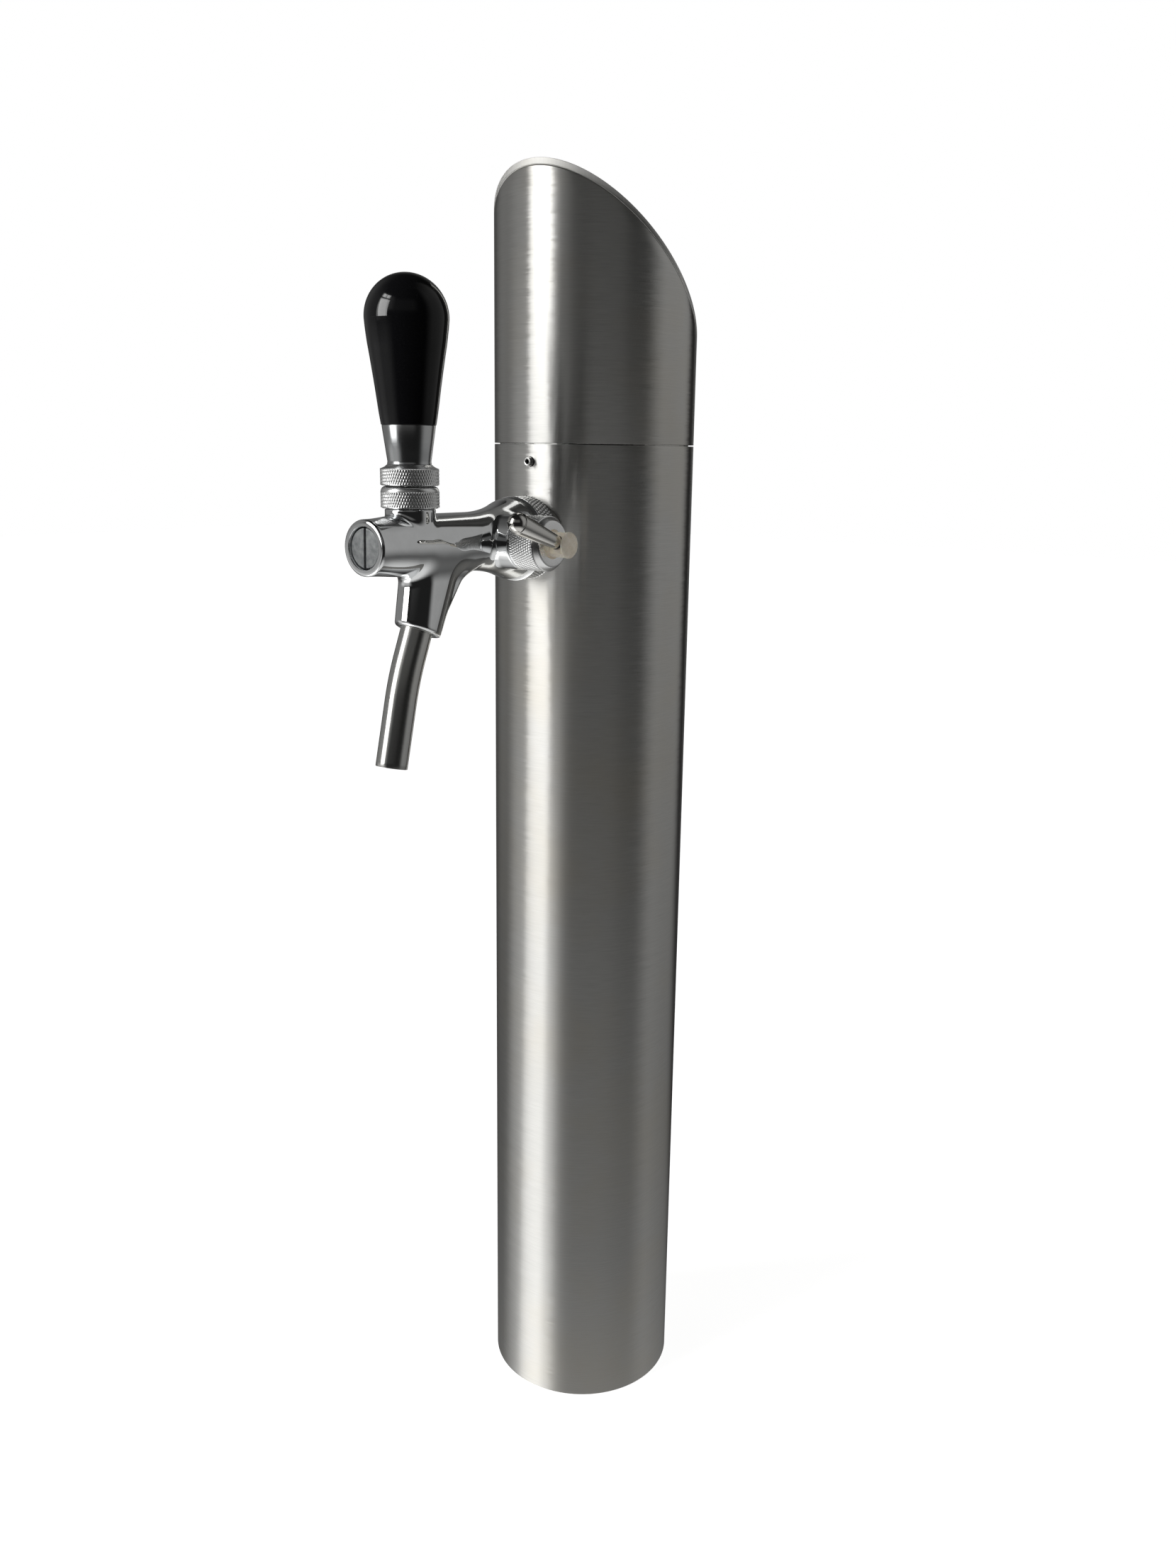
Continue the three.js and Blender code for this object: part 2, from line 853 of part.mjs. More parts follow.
function beerLine() {
  const front = 14;
  const bendY = LINE_Y - LINE_BEND_R;
  const top = solid(alongTap(ring(LINE_BORE_R, LINE_R, -bendY - 0.01, front, COARSE)));
  const low = TAP_Z - LINE_BEND_R;
  const drop = ring(LINE_BORE_R, LINE_R, 1, low + 0.01, COARSE).translate(0, LINE_Y, 0);
  const bend = new THREE.QuadraticBezierCurve3();
  bend.getPoint = (t, target = new THREE.Vector3()) => {
    const angle = (t * Math.PI) / 2;
    return target.set(
      0,
      bendY + LINE_BEND_R * Math.sin(angle),
      low + LINE_BEND_R * Math.cos(angle),
    );
  };
  return geometryOf(top.add(solid(drop)).add(solid(pipe(bend, LINE_R, LINE_BORE_R, 6, COARSE))));
}

add("coupling_nut", couplingNut(), KNURL);
add("nut_retaining_ring", alongTap(ring(8.9, 11, 52.7, 53.9, COARSE)), STEEL);
add("coupling_gasket", alongTap(ring(7.9, 9.4, 49.5, 51, COARSE)), RUBBER);
add("shank", shank(), BRASS);
add("outer_saddle_washer", saddleWasher(SHANK_R + GAP, 16.2, 40, 46.3, false), STEEL);
add("inner_saddle_washer", saddleWasher(SHANK_R + GAP, 16.5, 38.6, 44, true), WHITE_PLASTIC);
add("shank_lock_nut", hexNut(33.2, 38.3), BRASS);
add("hose_tail_gasket", alongTap(ring(3.6, 9, 22.5, 23.7, COARSE)), RUBBER);
add("hose_tail", hoseTail(), BRASS);
add("hose_nut", hexNut(17, 31.5, 2.3), BRASS);
add("beer_line", beerLine(), WHITE_PLASTIC);

export default tower;
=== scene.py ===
"""Looks of the beer tap tower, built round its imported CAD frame.

The tap points along -Y and its compensator spindle along +X, as in the frame.
Profiles are [radius, height] in millimetres and become metres when a mesh is made.
"""

import json
import math

import bpy
import numpy as np
from mathutils import Matrix, Vector


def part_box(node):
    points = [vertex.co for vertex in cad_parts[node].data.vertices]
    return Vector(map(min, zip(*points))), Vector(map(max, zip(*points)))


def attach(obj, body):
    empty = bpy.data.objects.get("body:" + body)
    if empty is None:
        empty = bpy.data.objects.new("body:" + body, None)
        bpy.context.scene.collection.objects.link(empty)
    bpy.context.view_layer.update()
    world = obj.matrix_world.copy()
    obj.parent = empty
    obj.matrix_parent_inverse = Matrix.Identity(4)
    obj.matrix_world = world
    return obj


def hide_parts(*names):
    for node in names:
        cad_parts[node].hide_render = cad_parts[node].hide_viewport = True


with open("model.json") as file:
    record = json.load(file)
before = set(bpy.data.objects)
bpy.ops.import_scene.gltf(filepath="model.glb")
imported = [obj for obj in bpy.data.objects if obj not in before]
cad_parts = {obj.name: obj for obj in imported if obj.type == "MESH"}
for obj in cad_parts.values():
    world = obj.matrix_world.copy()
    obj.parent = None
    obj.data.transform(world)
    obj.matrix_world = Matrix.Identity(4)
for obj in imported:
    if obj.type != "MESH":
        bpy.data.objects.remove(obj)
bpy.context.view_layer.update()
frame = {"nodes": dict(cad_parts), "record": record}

MM = 0.001

# ------------------------------------------------------------------ sizes from the frame, in mm


def box_mm(node):
    low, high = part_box(node)
    return np.array(low) / MM, np.array(high) / MM


COLUMN_HIGH = box_mm("column_tube")[1]
HOOD_LOW = box_mm("hood_tube")[0]
LID_HIGH = box_mm("hood_lid")[1]
COUPLING_LOW, COUPLING_HIGH = box_mm("coupling_nut")
BODY_LOW = box_mm("tap_body")[0]
GLAND_LOW, GLAND_HIGH = box_mm("neck_gland_nut")
RING_LOW, RING_HIGH = box_mm("handle_lock_ring")
GRIP_LOW, GRIP_HIGH = box_mm("handle_grip")
SIDE_LOW, SIDE_HIGH = box_mm("compensator_gland_nut")
SCREW_LOW, SCREW_HIGH = box_mm("hood_set_screw")

TUBE_R = COLUMN_HIGH[0]
WALL = 2.0
SPLIT_Z = COLUMN_HIGH[2]
HOOD_Z = HOOD_LOW[2]
TOP_Z = LID_HIGH[2]
SLANT = math.radians(43.41)
CUT_MID_Z = TOP_Z - TUBE_R * math.tan(SLANT)
LID_T = 2.0
SEAM = 0.3
TOUCH = 0.02  # pieces that touch in the frame are drawn this far apart

TAP_Z = (COUPLING_LOW[2] + COUPLING_HIGH[2]) / 2
FRONT_S = -BODY_LOW[1]
NECK_S = -(GLAND_LOW[1] + GLAND_HIGH[1]) / 2
SIDE_S = -(SIDE_LOW[1] + SIDE_HIGH[1]) / 2
SCREW_Z = (SCREW_LOW[2] + SCREW_HIGH[2]) / 2

# The tap body. S is the distance forward of the column's axis.
FLARE_BACK = 59.2
FLARE_FRONT = 86
FLARE_RIM_R = 17.1
BARREL_R = 11.75
NOSE_S = 122
NOSE_LENGTH = 18
NOSE_TAPER = 1.1
NECK_R = 9.75
NECK_TOP_Z = 437.2
SIDE_BOSS_R = 11.1
SIDE_BOSS_X = 18.9
CHAMBER_R = 7.85
VALVE_BORE_R = 6.4
BOSS_R = 8.8
BOSS_S = 114.6
BOSS_Z = 390.0
BOSS_LENGTH = 32
PIPE_R = 6.35
PIPE_BORE_R = 5.35
PIPE_SOCKET = 12.5
SPOUT_TILT = math.radians(22)
SPOUT_END_TILT = math.radians(13)
BOSS_FRONT_TILT = math.radians(9)
LEVER_X = 37.6
LEVER_RISE = math.radians(19)
LEVER_LENGTH = 32.6
LEVER_STUD_R = 1.8
LEVER_FLAT = 2.6

# ------------------------------------------------------------------ mesh helpers


def rotation_x(angle):
    return np.array(Matrix.Rotation(angle, 3, "X"))


def rotation_y(angle):
    return np.array(Matrix.Rotation(angle, 3, "Y"))


IDENTITY = np.eye(3)


class Place:
    """Carries points made about +Z to where they belong, in millimetres."""

    def __init__(self, turn, origin):
        self.turn = turn
        self.origin = np.array(origin, float)

    def __call__(self, points):
        return np.asarray(points, float) @ self.turn.T + self.origin


ON_COLUMN = Place(IDENTITY, (0, 0, 0))
ON_NECK = Place(IDENTITY, (0, -NECK_S, 0))
ALONG_TAP = Place(rotation_x(math.pi / 2), (0, 0, TAP_Z))
ALONG_SCREW = Place(rotation_x(math.pi / 2), (0, 0, SCREW_Z))
ALONG_SIDE = Place(rotation_y(math.pi / 2), (0, -SIDE_S, TAP_Z))
ALONG_BOSS = Place(rotation_x(-SPOUT_TILT), (0, -BOSS_S, BOSS_Z))
ALONG_LEVER = Place(rotation_x(math.pi / 2 - LEVER_RISE), (LEVER_X, -SIDE_S, TAP_Z))


def make_object(name, points, faces, crease=32):
    """A mesh object from points in millimetres, smooth except at edges sharper than crease."""
    mesh = bpy.data.meshes.new(name)
    mesh.from_pydata((np.asarray(points) * MM).tolist(), [], faces)
    mesh.validate()
    mesh.shade_smooth()
    mesh.set_sharp_from_angle(angle=math.radians(crease))
    made = bpy.data.objects.new(name, mesh)
    bpy.context.scene.collection.objects.link(made)
    return made


def softened(points, steps=5):
    """A profile whose points given as (r, h, fillet) are replaced by round corners."""
    closed = tuple(points[0][:2]) == tuple(points[-1][:2])
    ring = points[:-1] if closed else points
    count = len(ring)
    out = []
    for i, point in enumerate(ring):
        here = np.array(point[:2], float)
        fillet = point[2] if len(point) > 2 else 0
        at_end = not closed and i in (0, count - 1)
        if not fillet or at_end:
            out.append(tuple(here))
            continue
        before = np.array(ring[i - 1][:2], float) - here
        after = np.array(ring[(i + 1) % count][:2], float) - here
        reach = min(fillet, 0.45 * np.linalg.norm(before), 0.45 * np.linalg.norm(after))
        start = here + before / np.linalg.norm(before) * reach
        end = here + after / np.linalg.norm(after) * reach
        for k in range(steps + 1):
            t = k / steps
            out.append(tuple((1 - t) ** 2 * start + 2 * t * (1 - t) * here + t * t * end))
    if closed:
        out.append(out[0])
    return out


def arc(centre, radius, start, end, steps):
    """Points on an arc about the centre (r, h), angles in degrees."""
    angles = np.radians(np.linspace(start, end, steps + 1))
    return [(centre[0] + radius * math.cos(a), centre[1] + radius * math.sin(a)) for a in angles]


def skin(rings, closed):
    """Faces between neighbouring rings of point numbers. A pole is one number repeated."""
    pairs = list(zip(rings, rings[1:]))
    if closed:
        pairs.append((rings[-1], rings[0]))
    faces = []
    for low, high in pairs:
        for k in range(len(low)):
            n = (k + 1) % len(low)
            unique = tuple(dict.fromkeys((low[k], low[n], high[n], high[k])))
            if len(unique) > 2:
                faces.append(unique)
    return faces


def turned_mesh(profile, facets, relief=None):
    """Points and faces of a solid of revolution about +Z.

    The profile starts and ends on the axis, or closes on itself, and runs upwards on the outside.
    relief(angles, r, h) may return a change of radius for each vertex of a ring.
    """
    closed = np.allclose(profile[0], profile[-1])
    rows = profile[:-1] if closed else profile
    angles = np.linspace(0, 2 * math.pi, facets, endpoint=False)
    points, rings = [], []
    for r, h in rows:
        first = len(points)
        if r < 1e-6:
            points.append((0.0, 0.0, h))
            rings.append([first] * facets)
            continue
        radii = np.full(facets, float(r))
        if relief is not None:
            radii = radii + relief(angles, r, h)
        ring = np.stack([radii * np.cos(angles), radii * np.sin(angles), np.full(facets, h)], 1)
        points.extend(ring.tolist())
        rings.append(list(range(first, first + facets)))
    return np.array(points), skin(rings, closed)


def turned(name, profile, place, facets=96, relief=None, crease=32):
    points, faces = turned_mesh(profile, facets, relief)
    return make_object(name, place(points), faces, crease)


def settle(obj):
    """Replaces an object's mesh by the result of its modifiers."""
    bpy.context.view_layer.update()
    graph = bpy.context.evaluated_depsgraph_get()
    mesh = bpy.data.meshes.new_from_object(obj.evaluated_get(graph))
    obj.modifiers.clear()
    obj.data = mesh


def carve(obj, cutters, crease=32):
    """Cuts closed meshes out of an object and removes them."""
    for cutter in cutters:
        cut = obj.modifiers.new("cut", "BOOLEAN")
        cut.operation = "DIFFERENCE"
        cut.solver = "MANIFOLD"
        cut.object = cutter
    settle(obj)
    for cutter in cutters:
        bpy.data.objects.remove(cutter)
    obj.data.shade_smooth()
    obj.data.set_sharp_from_angle(angle=math.radians(crease))
    return obj


def rod(radius, low, high):
    return [(0, low), (radius, low), (radius, high), (0, high)]


def block(name, low, high, place):
    """A plain block between two corners of its own frame, for cutting."""
    corners = [
        (x, y, z)
        for z in (low[2], high[2])
        for y in (low[1], high[1])
        for x in (low[0], high[0])
    ]
    faces = [(0, 2, 3, 1), (4, 5, 7, 6), (0, 1, 5, 4), (2, 6, 7, 3), (0, 4, 6, 2), (1, 3, 7, 5)]
    return make_object(name, place(corners), faces)


def band(radius, low, high, step):
    """Closely spaced profile points along a straight outside, for relief to move."""
    count = max(2, round((high - low) / step))
    return [(radius, low + (high - low) * i / count) for i in range(count + 1)]


KNURL_SLANT = math.radians(24)
KNURL_STEP = 0.14  # spacing of the profile points that carry the relief


def diamond_knurl(radius, low, high, teeth, depth, fade=0.35):
    """Relief of a diamond knurl: crossed grooves at a slant to the axis, between two heights."""
    pitch = 2 * math.pi * radius / teeth
    rise = pitch / math.tan(KNURL_SLANT)

    def ridge(t):
        return 1 - np.abs(2 * (t - np.floor(t)) - 1)

    def relief(angles, r, h):
        if r < radius - 0.02 or h < low - 1e-6 or h > high + 1e-6:
            return 0 * angles
        across = teeth * angles / (2 * math.pi)
        along = h / rise
        height = np.minimum(ridge(across + along), ridge(across - along))
        height = np.clip(height * 1.15, 0, 0.92)
        ease = max(0.0, min(1.0, (h - low) / fade, (high - h) / fade))
        return -depth * ease * (1 - height)

    return relief


def show(obj, body, nodes, material):
    """Puts the piece on its body, in place of its CAD nodes, with its finish."""
    obj.data.materials.clear()
    obj.data.materials.append(material)
    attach(obj, body)
    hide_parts(*nodes)
    return obj


# ------------------------------------------------------------------ materials


class Shader:
    """A node material with a Principled surface."""

    def __init__(self, name):
        self.material = bpy.data.materials.new(name)
        self.material.use_nodes = True
        self.tree = self.material.node_tree
        self.surface = self.tree.nodes["Principled BSDF"]
        self.place = self.add("ShaderNodeTexCoord").outputs["Object"]

    def add(self, kind, settings=None, **inputs):
        node = self.tree.nodes.new(kind)
        for key, value in (settings or {}).items():
            setattr(node, key, value)
        for key, value in inputs.items():
            self.feed(node.inputs[key.replace("_", " ")], value)
        return node

    def feed(self, socket, value):
        if isinstance(value, bpy.types.NodeSocket):
            self.tree.links.new(value, socket)
        else:
            socket.default_value = value

    def set(self, **inputs):
        for key, value in inputs.items():
            self.feed(self.surface.inputs[key.replace("_", " ")], value)

    def math(self, operation, *values, clamp=False):
        node = self.tree.nodes.new("ShaderNodeMath")
        node.operation = operation
        node.use_clamp = clamp
        for socket, value in zip(node.inputs, values):
            self.feed(socket, value)
        return node.outputs[0]

    def vector(self, operation, *values):
        node = self.tree.nodes.new("ShaderNodeVectorMath")
        node.operation = operation
        for socket, value in zip(node.inputs, values):
            self.feed(socket, value)
        return node

    def scaled(self, factors):
        return self.vector("MULTIPLY", self.place, factors).outputs[0]

    def noise(self, vector, scale=1.0, detail=3.0, roughness=0.55):
        node = self.add("ShaderNodeTexNoise", Scale=scale, Detail=detail, Roughness=roughness)
        self.feed(node.inputs["Vector"], vector)
        return node.outputs["Fac"]

    def span(self, value, low, high, start=0.0, end=1.0):
        node = self.add("ShaderNodeMapRange")
        for key, number in zip(("From Min", "From Max", "To Min", "To Max"), (start, end, low, high)):
            node.inputs[key].default_value = number
        self.feed(node.inputs["Value"], value)
        return node.outputs["Result"]

    def mix(self, factor, first, second):
        node = self.add("ShaderNodeMix", {"data_type": "RGBA"})
        self.feed(node.inputs[0], factor)
        self.feed(node.inputs[6], (*first, 1) if isinstance(first, tuple) else first)
        self.feed(node.inputs[7], (*second, 1) if isinstance(second, tuple) else second)
        return node.outputs[2]

    def bump(self, height, distance, strength=1.0, normal=None):
        node = self.add("ShaderNodeBump", Strength=strength, Distance=distance)
        self.feed(node.inputs["Height"], height)
        if normal is not None:
            self.feed(node.inputs["Normal"], normal)
        return node.outputs["Normal"]


def brushed_steel(
    name,
    grain=(0, 0, 1),
    tint=(0.62, 0.615, 0.60),
    rough=0.32,
    wobble=0.065,
    lines=1.0,
    smear=1.0,
):
    """Steel brushed across the grain axis: fine lines that run round the piece.

    wobble is how far the lines tip the surface, lines scales their spacing, and smear is how
    much the highlight is drawn out along the axis.
    """
    s = Shader(name)
    axis = Vector(grain).normalized()
    along = s.vector("DOT_PRODUCT", s.place, tuple(axis)).outputs["Value"]
    lengthwise = s.vector("SCALE", tuple(axis))
    s.feed(lengthwise.inputs["Scale"], along)

    def streaks(length, pitch, detail):
        """Noise drawn out to the given length across the axis, in metres, and thin along it."""
        slow = s.vector("SCALE", s.place)
        slow.inputs["Scale"].default_value = 1 / length
        quick = s.vector("SCALE", lengthwise.outputs[0])
        quick.inputs["Scale"].default_value = 1 / pitch
        return s.noise(s.vector("ADD", slow.outputs[0], quick.outputs[0]).outputs[0], 1.0, detail)

    fine = streaks(0.008, 0.00024 * lines, 2)
    broad = streaks(0.030, 0.0010 * lines, 3)
    cloud = s.noise(s.place, 18, 5)
    tone = s.math("ADD", s.math("MULTIPLY", fine, 0.72), s.math("MULTIPLY", broad, 0.28))
    dark = tuple(c * 0.93 for c in tint)
    light = tuple(min(1, c * 1.06) for c in tint)
    colour = s.mix(s.span(tone, 0, 1, 0.3, 0.7), dark, light)
    warm = (tint[0], tint[1] * 0.95, tint[2] * 0.86)
    colour = s.mix(s.span(cloud, 0, 0.7, 0.45, 0.75), colour, warm)
    normal = s.add("ShaderNodeNewGeometry").outputs["Normal"]
    across = s.vector("CROSS_PRODUCT", tuple(axis), normal).outputs[0]
    lean = s.math("MULTIPLY", s.math("SUBTRACT", tone, 0.5), wobble * 2)
    nudge = s.vector("SCALE", across)
    s.feed(nudge.inputs["Scale"], lean)
    leaning = s.vector("NORMALIZE", s.vector("ADD", normal, nudge.outputs[0]).outputs[0])
    s.set(
        Base_Color=colour,
        Metallic=1.0,
        Roughness=s.span(tone, rough * 0.93, rough * 1.08, 0.25, 0.75),
        Anisotropic=smear,
        Normal=s.bump(fine, 0.000012, 0.3, leaning.outputs[0]),
    )
    # The scratches run round the piece, so the highlight is drawn out along the axis.
    tangent = s.vector("NORMALIZE", s.vector("CROSS_PRODUCT", normal, across).outputs[0])
    s.feed(s.surface.inputs["Tangent"], tangent.outputs[0])
    return s.material


def chrome(name, tint=(0.80, 0.81, 0.82), rough=0.035):
    """Mirror chrome with faint polishing haze and a few fine scuffs."""
    s = Shader(name)
    haze = s.noise(s.place, 160, 5)
    scuffs = s.noise(s.scaled((900, 240, 1400)), 1.0, 3)
    s.set(
        Base_Color=s.mix(s.span(haze, 0, 1, 0.35, 0.7), tuple(c * 0.94 for c in tint), tint),
        Metallic=1.0,
        Roughness=s.span(haze, rough - 0.01, rough + 0.03, 0.4, 0.75),
        Normal=s.bump(scuffs, 0.000002, 0.12),
    )
    return s.material


def knurled_chrome(name):
    """Chrome over a knurl with painted light: the crests are coloured bright as painted highlight, and
    the grey, rougher grooves carry painted shade.
    """
    s = Shader(name)
    shade_pointiness = s.add("ShaderNodeNewGeometry").outputs["Pointiness"]
    # Painted shade and highlight: pointiness colours the grooves darker and the crests lighter.
    height = s.span(shade_pointiness, 0, 1, 0.46, 0.53)
    grain = s.noise(s.place, 2600, 3)
    s.set(
        Base_Color=s.mix(height, (0.66, 0.66, 0.66), (0.93, 0.935, 0.94)),
        Metallic=1.0,
        Roughness=s.math("ADD", s.span(height, 0.38, 0.22), s.span(grain, -0.03, 0.05)),
        Normal=s.bump(grain, 0.00001, 0.2),
    )
    return s.material


def black_grip(name):
    """Polished black plastic with slight waviness."""
    s = Shader(name)
    wave = s.noise(s.place, 55, 2)
    dust = s.noise(s.place, 2200, 4)
    s.set(
        Base_Color=s.mix(s.span(dust, 0, 1, 0.6, 0.85), (0.0035, 0.0035, 0.004), (0.012, 0.012, 0.013)),
        Roughness=s.span(wave, 0.05, 0.10, 0.3, 0.7),
        Specular_IOR_Level=0.28,
        Normal=s.bump(wave, 0.00006, 0.2),
    )
    return s.material


def cast_metal(name):
    """Matte grey casting, blasted, with small pits and cloudy stains."""
    s = Shader(name)
    grain = s.noise(s.place, 3200, 5)
    blotch = s.noise(s.place, 420, 4)
    pits = s.add("ShaderNodeTexVoronoi", {"feature": "F1"}, Scale=1500.0)
    s.feed(pits.inputs["Vector"], s.place)
    pit = s.span(pits.outputs["Distance"], 0, 1, 0.08, 0.32)
    s.set(
        Base_Color=s.mix(s.span(blotch, 0, 1, 0.35, 0.65), (0.22, 0.23, 0.235), (0.36, 0.37, 0.375)),
        Metallic=0.75,
        Roughness=s.span(grain, 0.42, 0.62),
        Normal=s.bump(grain, 0.00005, 0.5, s.bump(pit, 0.00006, 0.4)),
    )
    return s.material


def moulded_plastic(name, light, dark, rough=0.38, milky=0.15, glow=0.0):
    """Plain moulded plastic, a little translucent, with faint flow marks.

    glow is painted light: an emission that stands for the light that comes through it from behind.
    """
    s = Shader(name)
    flow = s.noise(s.scaled((260, 420, 420)), 1.0, 4)
    skin = s.noise(s.place, 1800, 3)
    s.set(
        Base_Color=s.mix(s.span(flow, 0, 1, 0.35, 0.7), dark, light),
        Roughness=s.span(skin, rough - 0.06, rough + 0.08),
        # Painted glow: the plastic emits its light colour.
        Emission_Color=(*light, 1),
        Emission_Strength=glow,
        Subsurface_Weight=milky,
        Subsurface_Radius=(0.004, 0.003, 0.002),
        Normal=s.bump(skin, 0.00002, 0.2),
    )
    return s.material


def rubber(name):
    s = Shader(name)
    skin = s.noise(s.place, 1500, 4)
    s.set(
        Base_Color=s.mix(skin, (0.012, 0.012, 0.012), (0.03, 0.03, 0.03)),
        Roughness=s.span(skin, 0.55, 0.75),
        Normal=s.bump(skin, 0.00004, 0.4),
    )
    return s.material


def machined_brass(name):
    s = Shader(name)
    rings = s.noise(s.scaled((150, 5200, 150)), 1.0, 3)
    s.set(
        Base_Color=s.mix(rings, (0.60, 0.42, 0.19), (0.78, 0.60, 0.32)),
        Metallic=1.0,
        Roughness=s.span(rings, 0.22, 0.36),
        Normal=s.bump(rings, 0.00002, 0.3),
    )
    return s.material


FLOOR_EVENNESS = 0.90


def pale_floor(name):
    """Nearly white floor: the camera sees mostly an even tone, with soft shade on top."""
    s = Shader(name)
    mottle = s.noise(s.place, 3, 3)
    tone = s.mix(mottle, (0.86, 0.86, 0.855), (0.90, 0.90, 0.895))
    s.set(Base_Color=tone, Roughness=0.9, Specular_IOR_Level=0.0)
    even = s.add("ShaderNodeEmission")
    path = s.add("ShaderNodeLightPath").outputs["Is Camera Ray"]
    s.feed(even.inputs["Strength"], s.math("MULTIPLY", path, FLOOR_EVENNESS))
    both = s.add("ShaderNodeAddShader")
    s.feed(both.inputs[0], s.surface.outputs["BSDF"])
    s.feed(both.inputs[1], even.outputs["Emission"])
    s.feed(s.tree.nodes["Material Output"].inputs["Surface"], both.outputs[0])
    return s.material


SPOUT_AXIS = (0, math.sin(SPOUT_TILT), math.cos(SPOUT_TILT))
LEVER_AXIS = (0, -math.cos(LEVER_RISE), math.sin(LEVER_RISE))

COLUMN_STEEL = brushed_steel("brushed_column")
LID_STEEL = brushed_steel("brushed_lid", grain=(1, 0, 0))
SPOUT_STEEL = brushed_steel(
    "satin_spout", SPOUT_AXIS, (0.62, 0.62, 0.61), rough=0.24, wobble=0.05, lines=0.5, smear=0.75
)
LEVER_STEEL = brushed_steel(
    "satin_lever", LEVER_AXIS, (0.62, 0.62, 0.62), rough=0.08, wobble=0.012, lines=0.4, smear=0.4
)
FERRULE_STEEL = brushed_steel(
    "turned_ferrule", (0, 0, 1), (0.50, 0.51, 0.52), rough=0.22, wobble=0.02, lines=0.4, smear=0.1
)
PLAIN_STEEL = brushed_steel(
    "plain_steel", (0, 1, 0), (0.55, 0.55, 0.54), rough=0.25, wobble=0.04, lines=0.5, smear=0.75
)
CHROME = chrome("polished_chrome")
KNURL = knurled_chrome("knurled_chrome")
GRIP_BLACK = black_grip("black_grip")
ZINC = cast_metal("cast_zinc")
# The cream plastic carries a painted glow.
CREAM = moulded_plastic(
    "cream_plastic", (0.93, 0.86, 0.74), (0.80, 0.71, 0.57), rough=0.26, milky=0.5, glow=0.10
)
WHITE = moulded_plastic("white_plastic", (0.82, 0.82, 0.80), (0.74, 0.74, 0.72))
LINE = moulded_plastic("line_plastic", (0.78, 0.80, 0.80), (0.70, 0.72, 0.72), rough=0.3)
RUBBER = rubber("black_rubber")
BRASS = machined_brass("plain_brass")

BY_SLOT = {
    "brushed_column": COLUMN_STEEL,
    "plain_steel": PLAIN_STEEL,
    "satin_spout": SPOUT_STEEL,
    "polished_chrome": CHROME,
    "knurled_chrome": KNURL,
    "cast_zinc": ZINC,
    "plain_brass": BRASS,
    "black_grip": GRIP_BLACK,
    "cream_plastic": CREAM,
    "white_plastic": WHITE,
    "line_plastic": LINE,
    "black_rubber": RUBBER,
}


def dress_cad_nodes():
    """Every CAD node that stays gets the finish of its slot."""
    for part in frame["record"]["subparts"]:
        node = frame["nodes"][part["node"]]
        node.data.materials.clear()
        node.data.materials.append(BY_SLOT[part["material_slot"]])


# ------------------------------------------------------------------ column and hood


def build_column():
    bore = TUBE_R - WALL
    # Levels of the points up the wall, closer together round the two holes.
    levels = [80, 160, 240, 320, 380, 404, 444, 449, 459]
    outside = [(TUBE_R, z) for z in levels]
    top = [(TUBE_R, SPLIT_Z, 0.15), (bore, SPLIT_Z)]
    profile = softened([(bore, 0), (TUBE_R, 0, 0.4), *outside, *top, (bore, 0)])
    column = turned("column", profile, ON_COLUMN, 256)
    shank_hole = turned("cut_shank", rod(11.9, TUBE_R - 14, TUBE_R + 4), ALONG_TAP, 96)
    screw_hole = turned("cut_screw", rod(2.1, TUBE_R - 6, TUBE_R + 4), ALONG_SCREW, 64)
    carve(column, [shank_hole, screw_hole])
    show(column, "tower", ["column_tube"], COLUMN_STEEL)


def slanted_ring(name, rows, facets=256, crease=32):
    """A closed body of revolution whose heights are measured in two ways.

    Each row is (radius, kind, height): kind "level" is a height from the foot, and kind "cut" is a
    distance from the slanted plane along that plane's normal.
    """
    angles = np.linspace(0, 2 * math.pi, facets, endpoint=False)
    points, rings = [], []
    for radius, kind, height in rows:
        first = len(points)
        x = radius * np.cos(angles)
        y = radius * np.sin(angles)
        if kind == "level":
            z = np.full(facets, height)
        else:
            z = CUT_MID_Z - y * math.tan(SLANT) + height / math.cos(SLANT)
        if radius < 1e-6:
            points.append((0.0, 0.0, float(z[0])))
            rings.append([first] * facets)
            continue
        points.extend(np.stack([x, y, z], 1).tolist())
        rings.append(list(range(first, first + facets)))
    return make_object(name, points, skin(rings, rows[0][0] > 1e-6), crease)


def quarter_round(radius):
    """Steps round a quarter circle, as distances from the two sides of its corner."""
    angles = np.radians([0, 22, 45, 68, 90])
    return [(radius * (1 - math.cos(a)), radius * (1 - math.sin(a))) for a in angles]


def build_hood():
    bore = TUBE_R - WALL
    edge = quarter_round(0.15)
    rows = [(bore, "level", HOOD_Z)]
    rows += [(TUBE_R - b, "level", HOOD_Z + a) for a, b in edge]
    under = -LID_T - SEAM
    rows += [(TUBE_R, "cut", under - 4)]
    rows += [(TUBE_R - a * 0.5, "cut", under - b * 0.5) for a, b in edge]
    rows += [(bore, "cut", under)]
    hood = slanted_ring("hood", rows)
    show(hood, "hood", ["hood_tube"], COLUMN_STEEL)

    edge = quarter_round(0.3)
    rows = [(0, "cut", -LID_T), (TUBE_R * 0.5, "cut", -LID_T)]
    rows += [(TUBE_R - b * 0.5, "cut", -LID_T + a * 0.5) for a, b in edge]
    rows += [(TUBE_R - a, "cut", -b) for a, b in edge]
    rows += [(TUBE_R * 0.75, "cut", 0), (TUBE_R * 0.4, "cut", 0), (0, "cut", 0)]
    lid = slanted_ring("hood_cover", rows)
    show(lid, "hood", ["hood_lid"], LID_STEEL)


